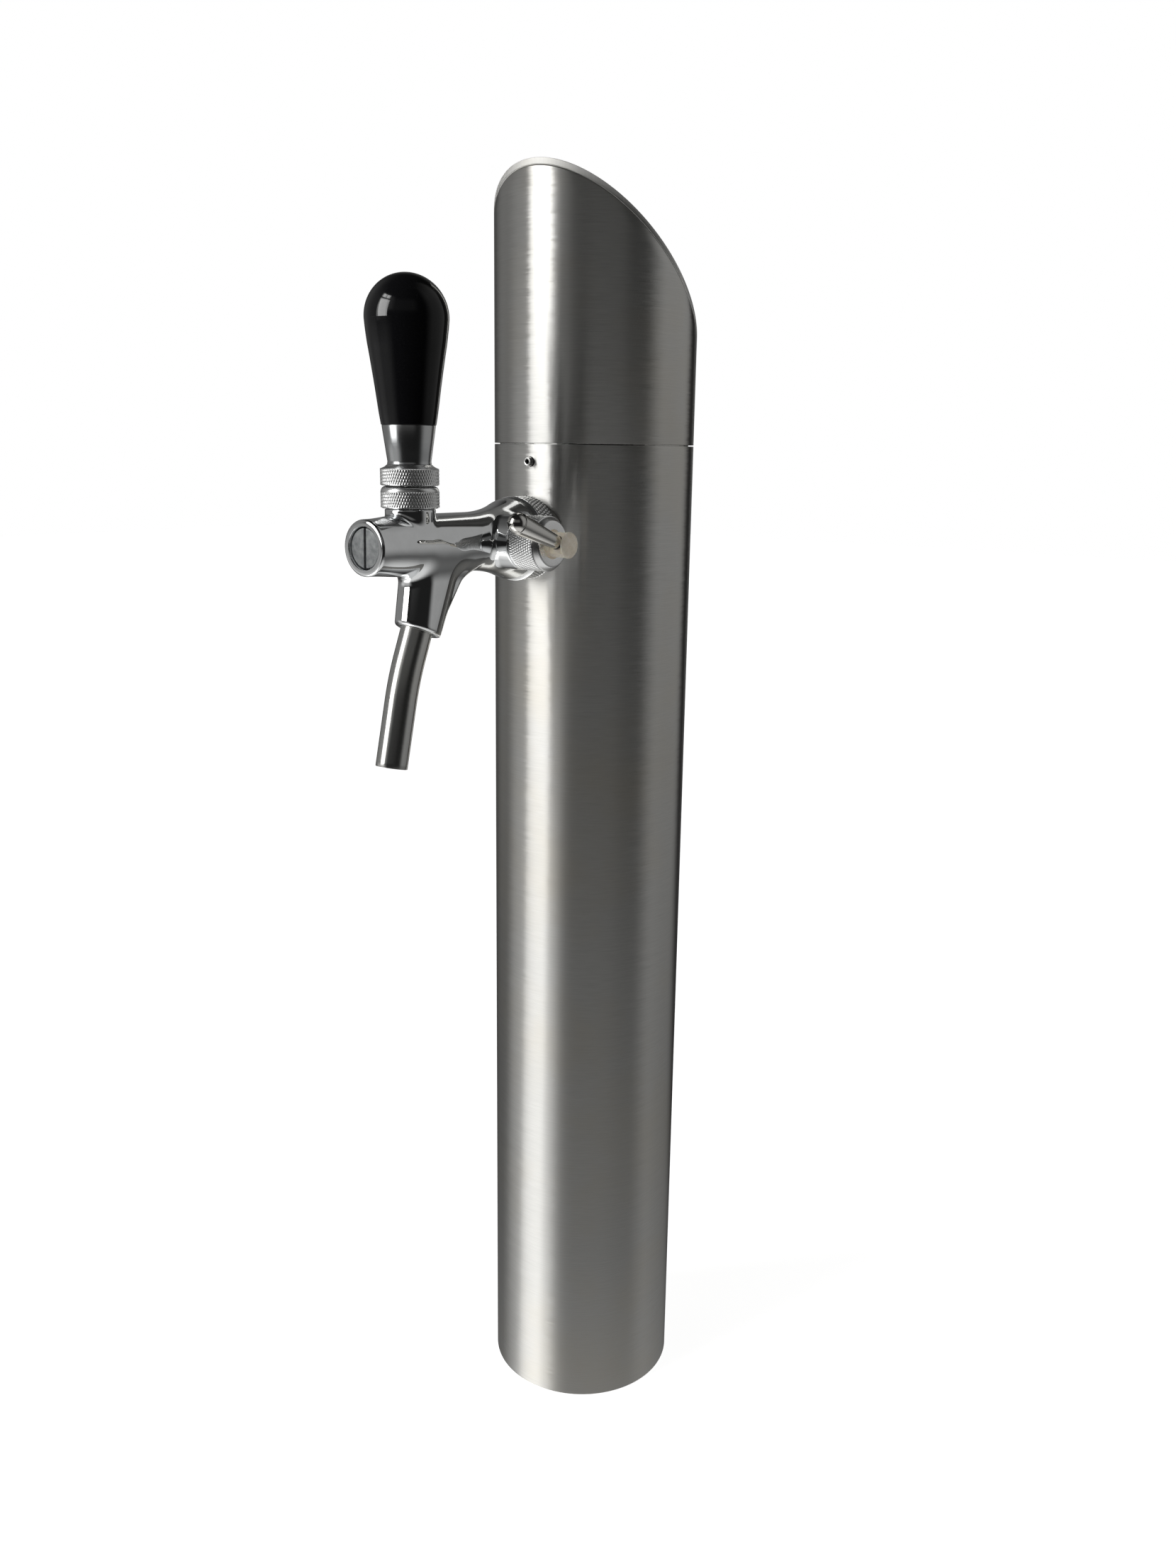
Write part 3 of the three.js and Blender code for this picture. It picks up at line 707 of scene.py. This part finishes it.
def build_set_screw():
    tip = -SCREW_HIGH[1]
    head = -SCREW_LOW[1]
    point = [(0, tip), (1.3, tip), (1.8, tip + 0.6, 0.2)]
    crown = [(1.8, head, 0.3), (1.35, head, 0.1), (0, head - 0.25)]
    profile = softened(point + crown)
    screw = turned("set_screw", profile, ALONG_SCREW, 64)
    socket = turned("cut_socket", rod(1.15, head - 1.7, head + 1), ALONG_SCREW, 6)
    carve(screw, [socket])
    show(screw, "tower", ["hood_set_screw"], PLAIN_STEEL)


# ------------------------------------------------------------------ tap body


def blend_union(a, b, k):
    """The union of two distance fields, with a fillet about k wide."""
    h = np.clip(0.5 + 0.5 * (b - a) / k, 0, 1)
    return b * (1 - h) + a * h - k * h * (1 - h)


def blend_cut(a, b, k):
    """The part common to two distance fields, with its edge rounded about k wide."""
    return -blend_union(-a, -b, k)


def outline_distance(s, z, outline):
    """Signed distance to a closed outline in the plane of the tap, negative inside."""
    best = np.full(s.shape, np.inf)
    inside = np.zeros(s.shape, bool)
    for (s0, z0), (s1, z1) in zip(outline, outline[1:] + outline[:1]):
        ds, dz = s1 - s0, z1 - z0
        t = np.clip(((s - s0) * ds + (z - z0) * dz) / (ds * ds + dz * dz), 0, 1)
        best = np.minimum(best, (s - s0 - t * ds) ** 2 + (z - z0 - t * dz) ** 2)
        crosses = (z0 > z) != (z1 > z)
        with np.errstate(divide="ignore", invalid="ignore"):
            inside ^= crosses & (s < s0 + (z - z0) * ds / dz if dz else False)
    return np.where(inside, -1, 1) * np.sqrt(best)


WEB = [
    (85.6, 420),
    (88.4, 414),
    (91.2, 411.2),
    (93.6, 408.6),
    (95.6, 405.9),
    (97.7, 402.9),
    (99.9, 399.7),
    (102.2, 396.9),
    (104.1, 393.6),
    (105.8, 389.9),
    (107.4, 387.4),
    (114, 392),
    (110, 420),
]
WEB_HALF = 6.2


def body_field(points):
    """Distance to the outside of the tap body's casting, in millimetres."""
    x = points[..., 0]
    s = -points[..., 1]
    height = points[..., 2]
    z = height - TAP_Z
    off = np.hypot(x, z)

    back = np.clip(FLARE_FRONT - s, 0, 30)
    nose = np.clip((s - NOSE_S) / NOSE_LENGTH, 0, 1)
    radius = BARREL_R + 0.00684 * back**2 + 1.7e-6 * back**4
    radius = radius - NOSE_TAPER * nose * nose * (3 - 2 * nose)
    barrel = blend_cut(off - radius, off - FLARE_RIM_R, 1.6)
    barrel = blend_cut(barrel, FLARE_BACK - s, 1.0)
    barrel = blend_cut(barrel, s - FRONT_S, 1.2)

    neck = np.hypot(x, s - NECK_S) - NECK_R
    neck = blend_cut(neck, height - NECK_TOP_Z, 0.5)
    neck = blend_cut(neck, -z, 1.0)

    side = np.hypot(s - SIDE_S, z) - SIDE_BOSS_R
    side = blend_cut(side, x - SIDE_BOSS_X, 0.7)
    side = blend_cut(side, -x, 1.0)

    ds = s - BOSS_S
    dz = height - BOSS_Z
    up = -ds * math.sin(SPOUT_TILT) + dz * math.cos(SPOUT_TILT)
    # Between its upright front and its leaning back the boss is as wide as it is round.
    behind = ds * math.cos(SPOUT_TILT) + dz * math.sin(SPOUT_TILT)
    before = ds * math.cos(BOSS_FRONT_TILT) + dz * math.sin(BOSS_FRONT_TILT)
    boss = np.hypot(x, np.maximum(before, 0) + np.minimum(behind, 0)) - BOSS_R
    boss = blend_cut(boss, -up, 1.6)
    boss = blend_cut(boss, up - BOSS_LENGTH, 1.0)

    web = outline_distance(s, height, WEB)
    web = blend_cut(web, np.abs(x) - WEB_HALF, 2.2)

    body = blend_union(barrel, neck, 1.8)
    body = blend_union(body, side, 2.2)
    lower = blend_union(boss, web, 2.5)
    return blend_union(body, lower, 4.8)


def surface_net(field, low, high, step):
    """Quads on the zero surface of a field, sampled on a grid and then pulled exactly onto it."""
    axes = [np.arange(a, b + step, step) for a, b in zip(low, high)]
    shape = tuple(len(a) for a in axes)
    grid = np.stack(np.meshgrid(*axes, indexing="ij"), -1)
    value = np.empty(shape)
    for i in range(shape[0]):
        value[i] = field(grid[i])
    inside = value < 0

    cells = tuple(n - 1 for n in shape)
    total = np.zeros(cells + (3,))
    count = np.zeros(cells)
    corners = [(i, j, k) for i in (0, 1) for j in (0, 1) for k in (0, 1)]

    def at(array, corner):
        return array[tuple(slice(c, c + n) for c, n in zip(corner, cells))]

    for start in corners:
        for axis in range(3):
            if start[axis]:
                continue
            end = tuple(c + (n == axis) for n, c in enumerate(start))
            first, second = at(value, start), at(value, end)
            crosses = at(inside, start) != at(inside, end)
            share = np.where(crosses, first / np.where(crosses, first - second, 1), 0)
            spot = np.array(start, float) + share[..., None] * np.eye(3)[axis]
            total += np.where(crosses[..., None], spot, 0)
            count += crosses
    used = count > 0
    number = np.full(cells, -1)
    number[used] = np.arange(used.sum())
    cell = np.argwhere(used)
    points = np.array(low) + (cell + total[used] / count[used][:, None]) * step

    faces = []
    for axis in range(3):
        one, two = (axis + 1) % 3, (axis + 2) % 3
        ahead = np.roll(inside, -1, axis)
        span = [slice(1, n - 1) for n in shape]
        span[axis] = slice(0, shape[axis] - 1)
        change = np.zeros(shape, bool)
        change[tuple(span)] = (inside != ahead)[tuple(span)]
        where = np.argwhere(change)
        outward = inside[change]
        quad = []
        for a, b in ((1, 1), (0, 1), (0, 0), (1, 0)):
            spot = where.copy()
            spot[:, one] -= a
            spot[:, two] -= b
            quad.append(number[tuple(spot.T)])
        quad = np.stack(quad, 1)
        quad[~outward] = quad[~outward][:, ::-1]
        faces.append(quad)

    small = 0.01
    for _ in range(5):
        value = field(points)
        slope = np.stack(
            [(field(points + small * e) - field(points - small * e)) / (2 * small) for e in np.eye(3)],
            1,
        )
        points = points - slope * (value / np.maximum((slope**2).sum(1), 0.25))[:, None]
    return points, np.concatenate(faces).tolist()


def build_tap_body():
    step = 0.45
    low = (-19.0, -FRONT_S - 1.5, 383.0)
    high = (21.0, -FLARE_BACK + 1.5, 443.5)
    points, faces = surface_net(body_field, low, high, step)
    body = make_object("tap_casting", points, faces, 50)

    mouth = [(8.0, FRONT_S - 0.25), (8.2, FRONT_S), (8.2, FRONT_S + 2), (0, FRONT_S + 2)]
    bore = [(0, 80), (VALVE_BORE_R, 80), (VALVE_BORE_R, 96), (CHAMBER_R, 96), (CHAMBER_R, 130)]
    chamber = turned("cut_chamber", softened(bore + [(8.0, 130)] + mouth), ALONG_TAP, 128)
    neck = turned("cut_neck", rod(7.8, 426, 440), ON_NECK, 96)
    socket = PIPE_R + SEAM
    outlet = [(0, -2), (socket + 0.3, -2), (socket + 0.3, 0), (socket, 0.35), (socket, PIPE_SOCKET)]
    outlet += [(4.4, PIPE_SOCKET), (4.4, 29), (0, 29)]
    spout = turned("cut_spout", outlet, ALONG_BOSS, 96)
    side = turned("cut_side", rod(VALVE_BORE_R, 3, 22), ALONG_SIDE, 96)
    tail = turned("cut_tail", rod(6.9, 50, 81), ALONG_TAP, 96)
    carve(body, [chamber, neck, spout, side, tail], 40)
    show(body, "tower", ["tap_body"], CHROME)


PLUG_FACE = FRONT_S - 0.8
SLOT_HALF = 0.6
SLOT_DEPTH = 1.2
SLOT_TILT = math.radians(1.5)


def build_front_plug():
    stem = [(3.3, 127), (5, 127), (5, 131), (7.5, 131)]
    head = [(7.45, 138.6), (7.45, PLUG_FACE, 0.5), (0, PLUG_FACE)]
    bore = [(0, 139.2), (3.3, 139.2), (3.3, 127)]
    plug = turned("slotted_plug", softened(stem + head + bore), ALONG_TAP, 128)
    carve(plug, [slot_cutter("cut_slot", reach=11)])
    show(plug, "tower", ["front_plug"], ZINC)


def slot_cutter(name, reach):
    """A bar across the plug's face, a little off upright and wider towards the outside."""
    wide = SLOT_HALF * 1.15
    section = [(-SLOT_HALF, -SLOT_DEPTH), (SLOT_HALF, -SLOT_DEPTH), (wide, 1.5), (-wide, 1.5)]
    points = []
    for end in (-reach, reach):
        for x, out in section:
            across = x * math.cos(SLOT_TILT) + end * math.sin(SLOT_TILT)
            rise = -x * math.sin(SLOT_TILT) + end * math.cos(SLOT_TILT)
            points.append((across, -(PLUG_FACE + out), TAP_Z + rise))
    faces = [(0, 1, 2, 3), (7, 6, 5, 4), (0, 4, 5, 1), (1, 5, 6, 2), (2, 6, 7, 3), (3, 7, 4, 0)]
    return make_object(name, points, faces)


# ------------------------------------------------------------------ neck and handle


def build_gland_nut():
    low, top = GLAND_LOW[2], GLAND_HIGH[2]
    radius = GLAND_HIGH[0]
    knurl_low, knurl_high = low + 0.35, 443.7
    profile = softened([(9.1, low), (radius - 0.7, low), (radius - 0.15, low + 0.3, 0.2)])
    profile += band(radius, knurl_low, knurl_high, KNURL_STEP)
    profile += arc((radius - 2.2, knurl_high), 2.1, 0, 78, 8)
    profile += softened([(9.0, top - 0.05), (8.4, top, 0.2), (6.4, top, 0.2), (5.2, 443.06)])
    profile += [(6.0, 441.3), (9.1, 441.3), (9.1, low)]
    relief = diamond_knurl(radius, knurl_low, knurl_high, 67, 0.21)
    nut = turned("gland_nut", profile, ON_NECK, 536, relief, 60)
    show(nut, "tower", ["neck_gland_nut"], KNURL)


def build_lock_ring():
    low, top = RING_LOW[2], RING_HIGH[2]
    radius = RING_HIGH[0]
    recess = 12.4
    ball = 439.5
    roof_z = 449.6
    knurl_low, knurl_high = low + 0.3, 452.2
    rim = math.degrees(math.asin((low - ball) / recess))
    roof = math.degrees(math.asin((roof_z - ball) / recess))
    rim_r = recess * math.cos(math.radians(rim))
    profile = [(rim_r, low), (radius - 0.45, low)]
    profile += band(radius, knurl_low, knurl_high, KNURL_STEP)
    shoulder = [(radius - 0.3, knurl_high + 0.1), (9.5, 452.9, 1.2), (8.5, top, 0.2)]
    profile += softened(shoulder + [(4.2, top)])
    profile += [(4.2, roof_z)]
    profile += arc((0, ball), recess, roof, rim, 8)
    profile[-1] = profile[0]
    relief = diamond_knurl(radius, knurl_low, knurl_high, 67, 0.21)
    ring = turned("lock_ring", profile, ON_NECK, 536, relief, 60)
    show(ring, "handle", ["handle_lock_ring"], KNURL)


def build_ferrule():
    low, top = RING_HIGH[2] + TOUCH, GRIP_LOW[2] - TOUCH
    foot = [(4.2, low), (8.5, low, 0.15), (8.3, low + 0.9, 0.7)]
    wall = [(8.75, low + 4), (10.2, top - 0.25), (10.1, top, 0.1)]
    profile = softened(foot + wall + [(4.2, top), (4.2, low)])
    ferrule = turned("ferrule", profile, ON_NECK, 192)
    show(ferrule, "handle", ["handle_ferrule"], FERRULE_STEEL)


def build_grip():
    low, top = GRIP_LOW[2], GRIP_HIGH[2]
    radius = GRIP_HIGH[0]
    wide = top - radius
    crease = wide - 0.95
    taper = [(10.45, low + 0.3), (11.2, low + 4.8), (12.57, low + 14.7), (14.08, low + 24.6)]
    taper += [(14.87, low + 29.5), (15.5, low + 34.5), (radius - 0.04, crease)]
    profile = softened([(4.2, low), (10.15, low), (10.4, low + 0.1, 0.15), taper[0]])
    profile += smooth_through(taper, 8)
    profile += arc((0, wide), radius, -3.0, 90, 44)
    profile[-1] = (0, top)
    profile += [(0, 481), (4.2, 481), (4.2, low)]
    grip = turned("grip", profile, ON_NECK, 192, crease=3)
    show(grip, "handle", ["handle_grip"], GRIP_BLACK)


def smooth_through(points, steps):
    """A Catmull-Rom curve through the points."""
    path = np.array([points[0], *points, points[-1]], float)
    out = []
    for a, b, c, d in zip(path, path[1:], path[2:], path[3:]):
        for k in range(steps):
            t = k / steps
            spot = 2 * b + (c - a) * t
            spot = spot + (2 * a - 5 * b + 4 * c - d) * t**2
            spot = spot + (3 * b - a - 3 * c + d) * t**3
            out.append(tuple(0.5 * spot))
    out.append(tuple(path[-1]))
    return out


# ------------------------------------------------------------------ spout


def build_spout():
    outer, bore = PIPE_R, PIPE_BORE_R
    centre, ahead = spout_path()
    facets = 96
    angles = np.linspace(0, 2 * math.pi, facets, endpoint=False)
    side = np.array([1.0, 0, 0])

    def ring(i, radius, shift=0.0):
        up = np.cross(ahead[i], side)
        spot = centre[i] + ahead[i] * shift
        return spot + radius * (np.cos(angles)[:, None] * side + np.sin(angles)[:, None] * up)

    last = len(centre) - 1
    rings = [ring(i, outer) for i in range(last)]
    rings += [ring(last, outer, -0.15), ring(last, outer - 0.06, -0.04), ring(last, outer - 0.15)]
    rings += [ring(last, bore + 0.12), ring(last, bore, -0.15)]
    rings += [ring(i, bore) for i in range(last - 1, -1, -1)]
    points = np.concatenate(rings)
    faces = []
    count = len(rings)
    for j in range(count):
        for k in range(facets):
            n = (k + 1) % facets
            m = (j + 1) % count
            faces.append((j * facets + k, m * facets + k, m * facets + n, j * facets + n))
    spout = make_object("spout", points, faces)
    show(spout, "tower", ["spout_pipe"], SPOUT_STEEL)


def spout_path():
    """Centre points and directions of the spout pipe, from inside the boss to its open end."""

    def forward(tilt):
        return np.array([0.0, -math.sin(tilt), -math.cos(tilt)])

    face = np.array([0.0, -BOSS_S, BOSS_Z])
    top = face - 10.5 * forward(SPOUT_TILT)
    start = face + 11 * forward(SPOUT_TILT)
    corner = start + 9 * forward(SPOUT_TILT)
    end = corner + 9 * forward(SPOUT_END_TILT)
    tip = end + 26 * forward(SPOUT_END_TILT)
    points = [top + (start - top) * t for t in np.linspace(0, 1, 12, endpoint=False)]
    for t in np.linspace(0, 1, 24, endpoint=False):
        points.append((1 - t) ** 2 * start + 2 * t * (1 - t) * corner + t * t * end)
    points += [end + (tip - end) * t for t in np.linspace(0, 1, 14)]
    centre = np.array(points)
    ahead = np.gradient(centre, axis=0)
    ahead /= np.linalg.norm(ahead, axis=1)[:, None]
    return centre, ahead


# ------------------------------------------------------------------ compensator


def build_side_nut():
    low, face = SIDE_LOW[0], SIDE_HIGH[0]
    radius = SIDE_HIGH[2] - TAP_Z
    knurl_high = 31.1
    profile = softened([(9.0, low), (radius - 0.5, low), (radius - 0.15, low + 0.25, 0.1)])
    profile += band(radius, low + 0.3, knurl_high, KNURL_STEP)
    bevel = [(radius - 0.3, knurl_high + 0.12), (10.3, 31.9, 0.6), (9.1, face, 0.7)]
    hole = [(5.75, face, 0.25), (5.75, 30.5), (9.0, 30.5), (9.0, low)]
    profile += softened(bevel + hole)
    relief = diamond_knurl(radius, low + 0.3, knurl_high, 66, 0.21)
    nut = turned("side_nut", profile, ALONG_SIDE, 528, relief, 60)
    show(nut, "tower", ["compensator_gland_nut"], KNURL)


def build_spindle():
    shaft, neck, head = 5.6, 5.0, 5.2
    inner = [(0, 7), (shaft, 7), (shaft, 16.5), (4.3, 16.5), (4.3, 19.5), (shaft, 19.5)]
    collar = [(shaft, 28.6), (8.2, 28.6), (8.2, 30.2), (neck, 30.2)]
    dome = [(neck, 41.0), (head, 41.12, 0.06), (head, 41.6, 0.5), (4.5, 42.4, 0.9)]
    dome += [(2.9, 42.85, 1.0), (0, 43.0)]
    profile = softened(inner + collar + dome, 8)
    spindle = turned("spindle", profile, ALONG_SIDE, 128)
    hole = turned("cut_lever", rod(LEVER_STUD_R + 0.3, -12, 12), ALONG_LEVER, 64)
    flat = block("cut_flat", (-3.45, -6, LEVER_FLAT), (3.45, 6, 12), ALONG_LEVER)
    pin_profile = softened([(0, 1.4), (1.5, 1.4, 0.3), (1.5, 7.4), (0, 7.4)])
    pin = turned("eccentric_pin", pin_profile, ALONG_SIDE, 48)
    throw = 2.5 * MM
    offset = (0, throw * math.sin(LEVER_RISE), throw * math.cos(LEVER_RISE))
    pin.data.transform(Matrix.Translation(offset))
    carve(spindle, [hole, flat])
    join = spindle.modifiers.new("join", "BOOLEAN")
    join.operation = "UNION"
    join.solver = "MANIFOLD"
    join.object = pin
    settle(spindle)
    bpy.data.objects.remove(pin)
    spindle.data.shade_smooth()
    spindle.data.set_sharp_from_angle(angle=math.radians(32))
    show(spindle, "compensator_knob", ["compensator_spindle"], CREAM)


def build_lever():
    thin, thick, dome = 2.85, 4.35, 3.9
    ball = LEVER_LENGTH - dome
    stud = [(0, -4.6), (LEVER_STUD_R, -4.6, 0.3), (LEVER_STUD_R, 4.0)]
    cone = [(thin, 4.0, 0.5), (thick, ball - 0.45, 0.2), (dome + 0.05, ball - 0.3, 0.1)]
    profile = softened(stud + cone + [(dome, ball - 0.05)])
    profile += arc((0, ball), dome, 0, 90, 24)
    profile[-1] = (0, LEVER_LENGTH)
    lever = turned("lever", profile, ALONG_LEVER, 128)
    show(lever, "compensator_knob", ["compensator_lever"], LEVER_STEEL)


def build_lever_shade_ring():
    # Painted shade: a black ring round the lever's foot, where it enters the spindle, stands in for the
    # shade there.
    section = np.linspace(0, 2 * math.pi, 21)
    profile = [(2.45 + 0.4 * math.cos(a), 3.35 + 0.6 * math.sin(a)) for a in section]
    profile[-1] = profile[0]
    ring = turned("lever_shade_ring", profile, ALONG_LEVER, 64)
    show(ring, "compensator_knob", ["lever_ring"], RUBBER)


# ------------------------------------------------------------------ coupling


def build_coupling_nut():
    low, face = -COUPLING_HIGH[1], -COUPLING_LOW[1]
    radius = COUPLING_HIGH[0]
    knurl_low, knurl_high = low + 0.8, 56.2
    profile = softened([(11.75, low), (radius - 1.0, low, 0.2), (radius - 0.35, knurl_low - 0.1, 0.2)])
    profile += band(radius, knurl_low, knurl_high, 0.15)
    bevel = [(radius - 0.3, knurl_high + 0.15), (radius - 1.4, face - 0.1, 0.35)]
    bevel += [(radius - 1.9, face, 0.1)]
    hole = [(9.7, face), (9.7, 55), (11.75, 55), (11.75, low)]
    profile += softened(bevel + hole)
    relief = diamond_knurl(radius, knurl_low, knurl_high, 73, 0.38)
    nut = turned("coupling", profile, ALONG_TAP, 730, relief, 60)
    show(nut, "tower", ["coupling_nut"], KNURL)


# ------------------------------------------------------------------ stage

CAMERA_AZIMUTH = math.radians(37)
CAMERA_DISTANCE = 0.6063
CAMERA_HEIGHT = 0.4598
CAMERA_PITCH = 0.2493
CAMERA_YAW = -0.0009
CAMERA_ROLL = -0.0144
SENSOR_MM = 36
LENS_MM = 30.04991
SPARKLE = 9.0
PARALLAX = 5  # the grip stands forward of the column, so it sees the window further round


def build_sparkle():
    """The window once more as lamps that reach only the grip, whose dark skin reflects so little."""
    grip = bpy.data.collections.new("sparkle")
    grip.objects.link(bpy.data.objects["grip"])
    centre = Vector((0, -NECK_S, GRIP_HIGH[2] - GRIP_HIGH[0])) * MM
    reach = 2.0
    for left, right, low, high in [WINDOW, *TOP_LIGHTS]:
        azimuth = math.radians((left + right) / 2 + PARALLAX)
        rise = math.radians((low + high) / 2)
        level = math.cos(rise)
        toward = Vector((math.sin(azimuth) * level, -math.cos(azimuth) * level, math.sin(rise)))
        lamp = bpy.data.lights.new("sparkle", "AREA")
        lamp.shape = "RECTANGLE"
        lamp.size = 2 * reach * math.tan(math.radians((right - left) / 2)) * level
        lamp.size_y = 2 * reach * math.tan(math.radians((high - low) / 2))
        lamp.energy = SPARKLE * lamp.size * lamp.size_y * math.pi
        pane = bpy.data.objects.new("sparkle", lamp)
        pane.location = centre + reach * toward
        pane.rotation_euler = toward.to_track_quat("Z", "Y").to_euler()
        pane.light_linking.receiver_collection = grip
        bpy.context.scene.collection.objects.link(pane)


def build_camera():
    out = Vector((math.sin(CAMERA_AZIMUTH), -math.cos(CAMERA_AZIMUTH), 0))
    right = Vector((math.cos(CAMERA_AZIMUTH), math.sin(CAMERA_AZIMUTH), 0))
    level = (-out * math.cos(CAMERA_YAW) + right * math.sin(CAMERA_YAW)).normalized()
    ahead = level * math.cos(CAMERA_PITCH) - Vector((0, 0, 1)) * math.sin(CAMERA_PITCH)
    side = level.cross(Vector((0, 0, 1)))
    down = ahead.cross(side)
    x_axis = side * math.cos(CAMERA_ROLL) + down * math.sin(CAMERA_ROLL)
    y_axis = -(down * math.cos(CAMERA_ROLL) - side * math.sin(CAMERA_ROLL))
    turn = Matrix((x_axis, y_axis, -ahead)).transposed()
    data = bpy.data.cameras.new("camera")
    data.sensor_width = SENSOR_MM
    data.lens = LENS_MM
    camera = bpy.data.objects.new("camera", data)
    place = out * CAMERA_DISTANCE + Vector((0, 0, CAMERA_HEIGHT))
    camera.matrix_world = Matrix.Translation(place) @ turn.to_4x4()
    bpy.context.scene.collection.objects.link(camera)
    bpy.context.scene.camera = camera


def build_floor():
    """A pale floor that meets the pale wall without a horizon; mirrors see the studio sky instead."""
    size = 6.0
    points = [(-size, -size, 0), (size, -size, 0), (size, size, 0), (-size, size, 0)]
    mesh = bpy.data.meshes.new("floor")
    mesh.from_pydata(points, [], [(0, 1, 2, 3)])
    mesh.materials.append(pale_floor("pale_floor"))
    floor = bpy.data.objects.new("floor", mesh)
    bpy.context.scene.collection.objects.link(floor)
    floor.visible_glossy = False


class Sky:
    """The studio seen in reflections: a dim room with soft panels.

    The camera itself sees a pale wall.
    """

    def __init__(self):
        world = bpy.data.worlds.new("studio")
        world.use_nodes = True
        bpy.context.scene.world = world
        self.tree = world.node_tree
        self.tree.nodes.clear()
        coord = self.tree.nodes.new("ShaderNodeTexCoord")
        split = self.tree.nodes.new("ShaderNodeSeparateXYZ")
        self.tree.links.new(coord.outputs["Generated"], split.inputs[0])
        x, y, z = split.outputs
        self.azimuth = self.math("DEGREES", self.math("ARCTAN2", x, self.math("MULTIPLY", y, -1.0)))
        self.elevation = self.math("DEGREES", self.math("ARCSINE", z))
        self.total = None

    def math(self, operation, *values):
        node = self.tree.nodes.new("ShaderNodeMath")
        node.operation = operation
        for socket, value in zip(node.inputs, values):
            if isinstance(value, bpy.types.NodeSocket):
                self.tree.links.new(value, socket)
            else:
                socket.default_value = value
        return node.outputs[0]

    def ramp(self, value, start, end):
        """0 at start, 1 at end, smooth between them."""
        node = self.tree.nodes.new("ShaderNodeMapRange")
        node.interpolation_type = "SMOOTHSTEP"
        node.inputs["From Min"].default_value = start
        node.inputs["From Max"].default_value = end
        self.tree.links.new(value, node.inputs["Value"])
        return node.outputs["Result"]

    def glow(self, strength, start, end):
        """Light that grows with elevation from start to end, in degrees, all the way round."""
        self.pour(self.math("MULTIPLY", self.ramp(self.elevation, start, end), strength))

    def panel(self, left, right, low, high, soft, strength):
        """A soft panel between two azimuths and two elevations, in degrees.

        Azimuth 0 is where the tap points and 90 where the compensator points. soft holds how wide
        the panel's edges are: left, right, and low and high together.
        """
        centre = (left + right) / 2
        turn = self.math("WRAP", self.math("SUBTRACT", self.azimuth, centre), 180.0, -180.0)
        half = (right - left) / 2
        left_soft, right_soft, end_soft = (width / 2 for width in soft)
        lit = self.ramp(turn, -half - left_soft, -half + left_soft)
        for share in (
            self.ramp(turn, half + right_soft, half - right_soft),
            self.ramp(self.elevation, low - end_soft, low + end_soft),
            self.ramp(self.elevation, high + end_soft, high - end_soft),
        ):
            lit = self.math("MULTIPLY", lit, share)
        self.pour(self.math("MULTIPLY", lit, strength))

    def pour(self, light):
        self.total = light if self.total is None else self.math("ADD", self.total, light)

    def close(self, wall):
        nodes, links = self.tree.nodes, self.tree.links
        tone = nodes.new("ShaderNodeCombineColor")
        for name, share in zip(("Red", "Green", "Blue"), (1.0, 1.0, 0.985)):
            links.new(self.math("MULTIPLY", self.total, share), tone.inputs[name])
        room = nodes.new("ShaderNodeBackground")
        links.new(tone.outputs[0], room.inputs["Color"])
        seen = nodes.new("ShaderNodeBackground")
        seen.inputs["Color"].default_value = (wall, wall, wall, 1)
        path = nodes.new("ShaderNodeLightPath")
        pick = nodes.new("ShaderNodeMixShader")
        links.new(path.outputs["Is Camera Ray"], pick.inputs[0])
        links.new(room.outputs[0], pick.inputs[1])
        links.new(seen.outputs[0], pick.inputs[2])
        output = nodes.new("ShaderNodeOutputWorld")
        links.new(pick.outputs[0], output.inputs["Surface"])


# Left, right, low and high of the window and of the lights above it, in degrees.
WINDOW_LIGHT = 3.8
WINDOW = (-43, -13, 0, 36)
TOP_LIGHTS = [(-43, -30, 39, 46), (-27, -14, 39, 46)]


def build_studio():
    sky = Sky()
    sky.pour(0.014)
    # The pale floor, brighter towards the foot.
    sky.glow(0.75, -24, -60)
    # The window with its two top lights, and the lit wall beside them.
    sky.panel(*WINDOW, (3, 3, 5), WINDOW_LIGHT)
    for pane in TOP_LIGHTS:
        sky.panel(*pane, (2, 2, 2), WINDOW_LIGHT)
    sky.panel(-13, 4, 14, 45, (4, 20, 10), 0.5)
    # What the window spills on the floor: far off, then near the foot.
    sky.panel(-72, -6, -70, -6, (24, 30, 16), 0.48)
    sky.panel(-58, -8, -84, -34, (14, 14, 26), 1.3)
    # The walls to the left, to the right, behind the camera and behind the tower.
    sky.panel(-110, -45, -20, 45, (40, 10, 40), 0.22)
    sky.panel(108, 172, -20, 60, (30, 18, 40), 0.33)
    sky.panel(0, 72, 12, 40, (16, 20, 12), 0.10)
    sky.panel(-165, -125, -25, 35, (20, 20, 30), 0.14)
    sky.close(1.0)
    bpy.context.scene.view_settings.view_transform = "Standard"


# ------------------------------------------------------------------ build

dress_cad_nodes()
build_column()
build_hood()
build_set_screw()
build_tap_body()
build_front_plug()
build_gland_nut()
build_lock_ring()
build_ferrule()
build_grip()
build_spout()
build_side_nut()
build_spindle()
build_lever()
build_lever_shade_ring()
build_coupling_nut()
build_floor()
build_studio()
build_sparkle()
build_camera()
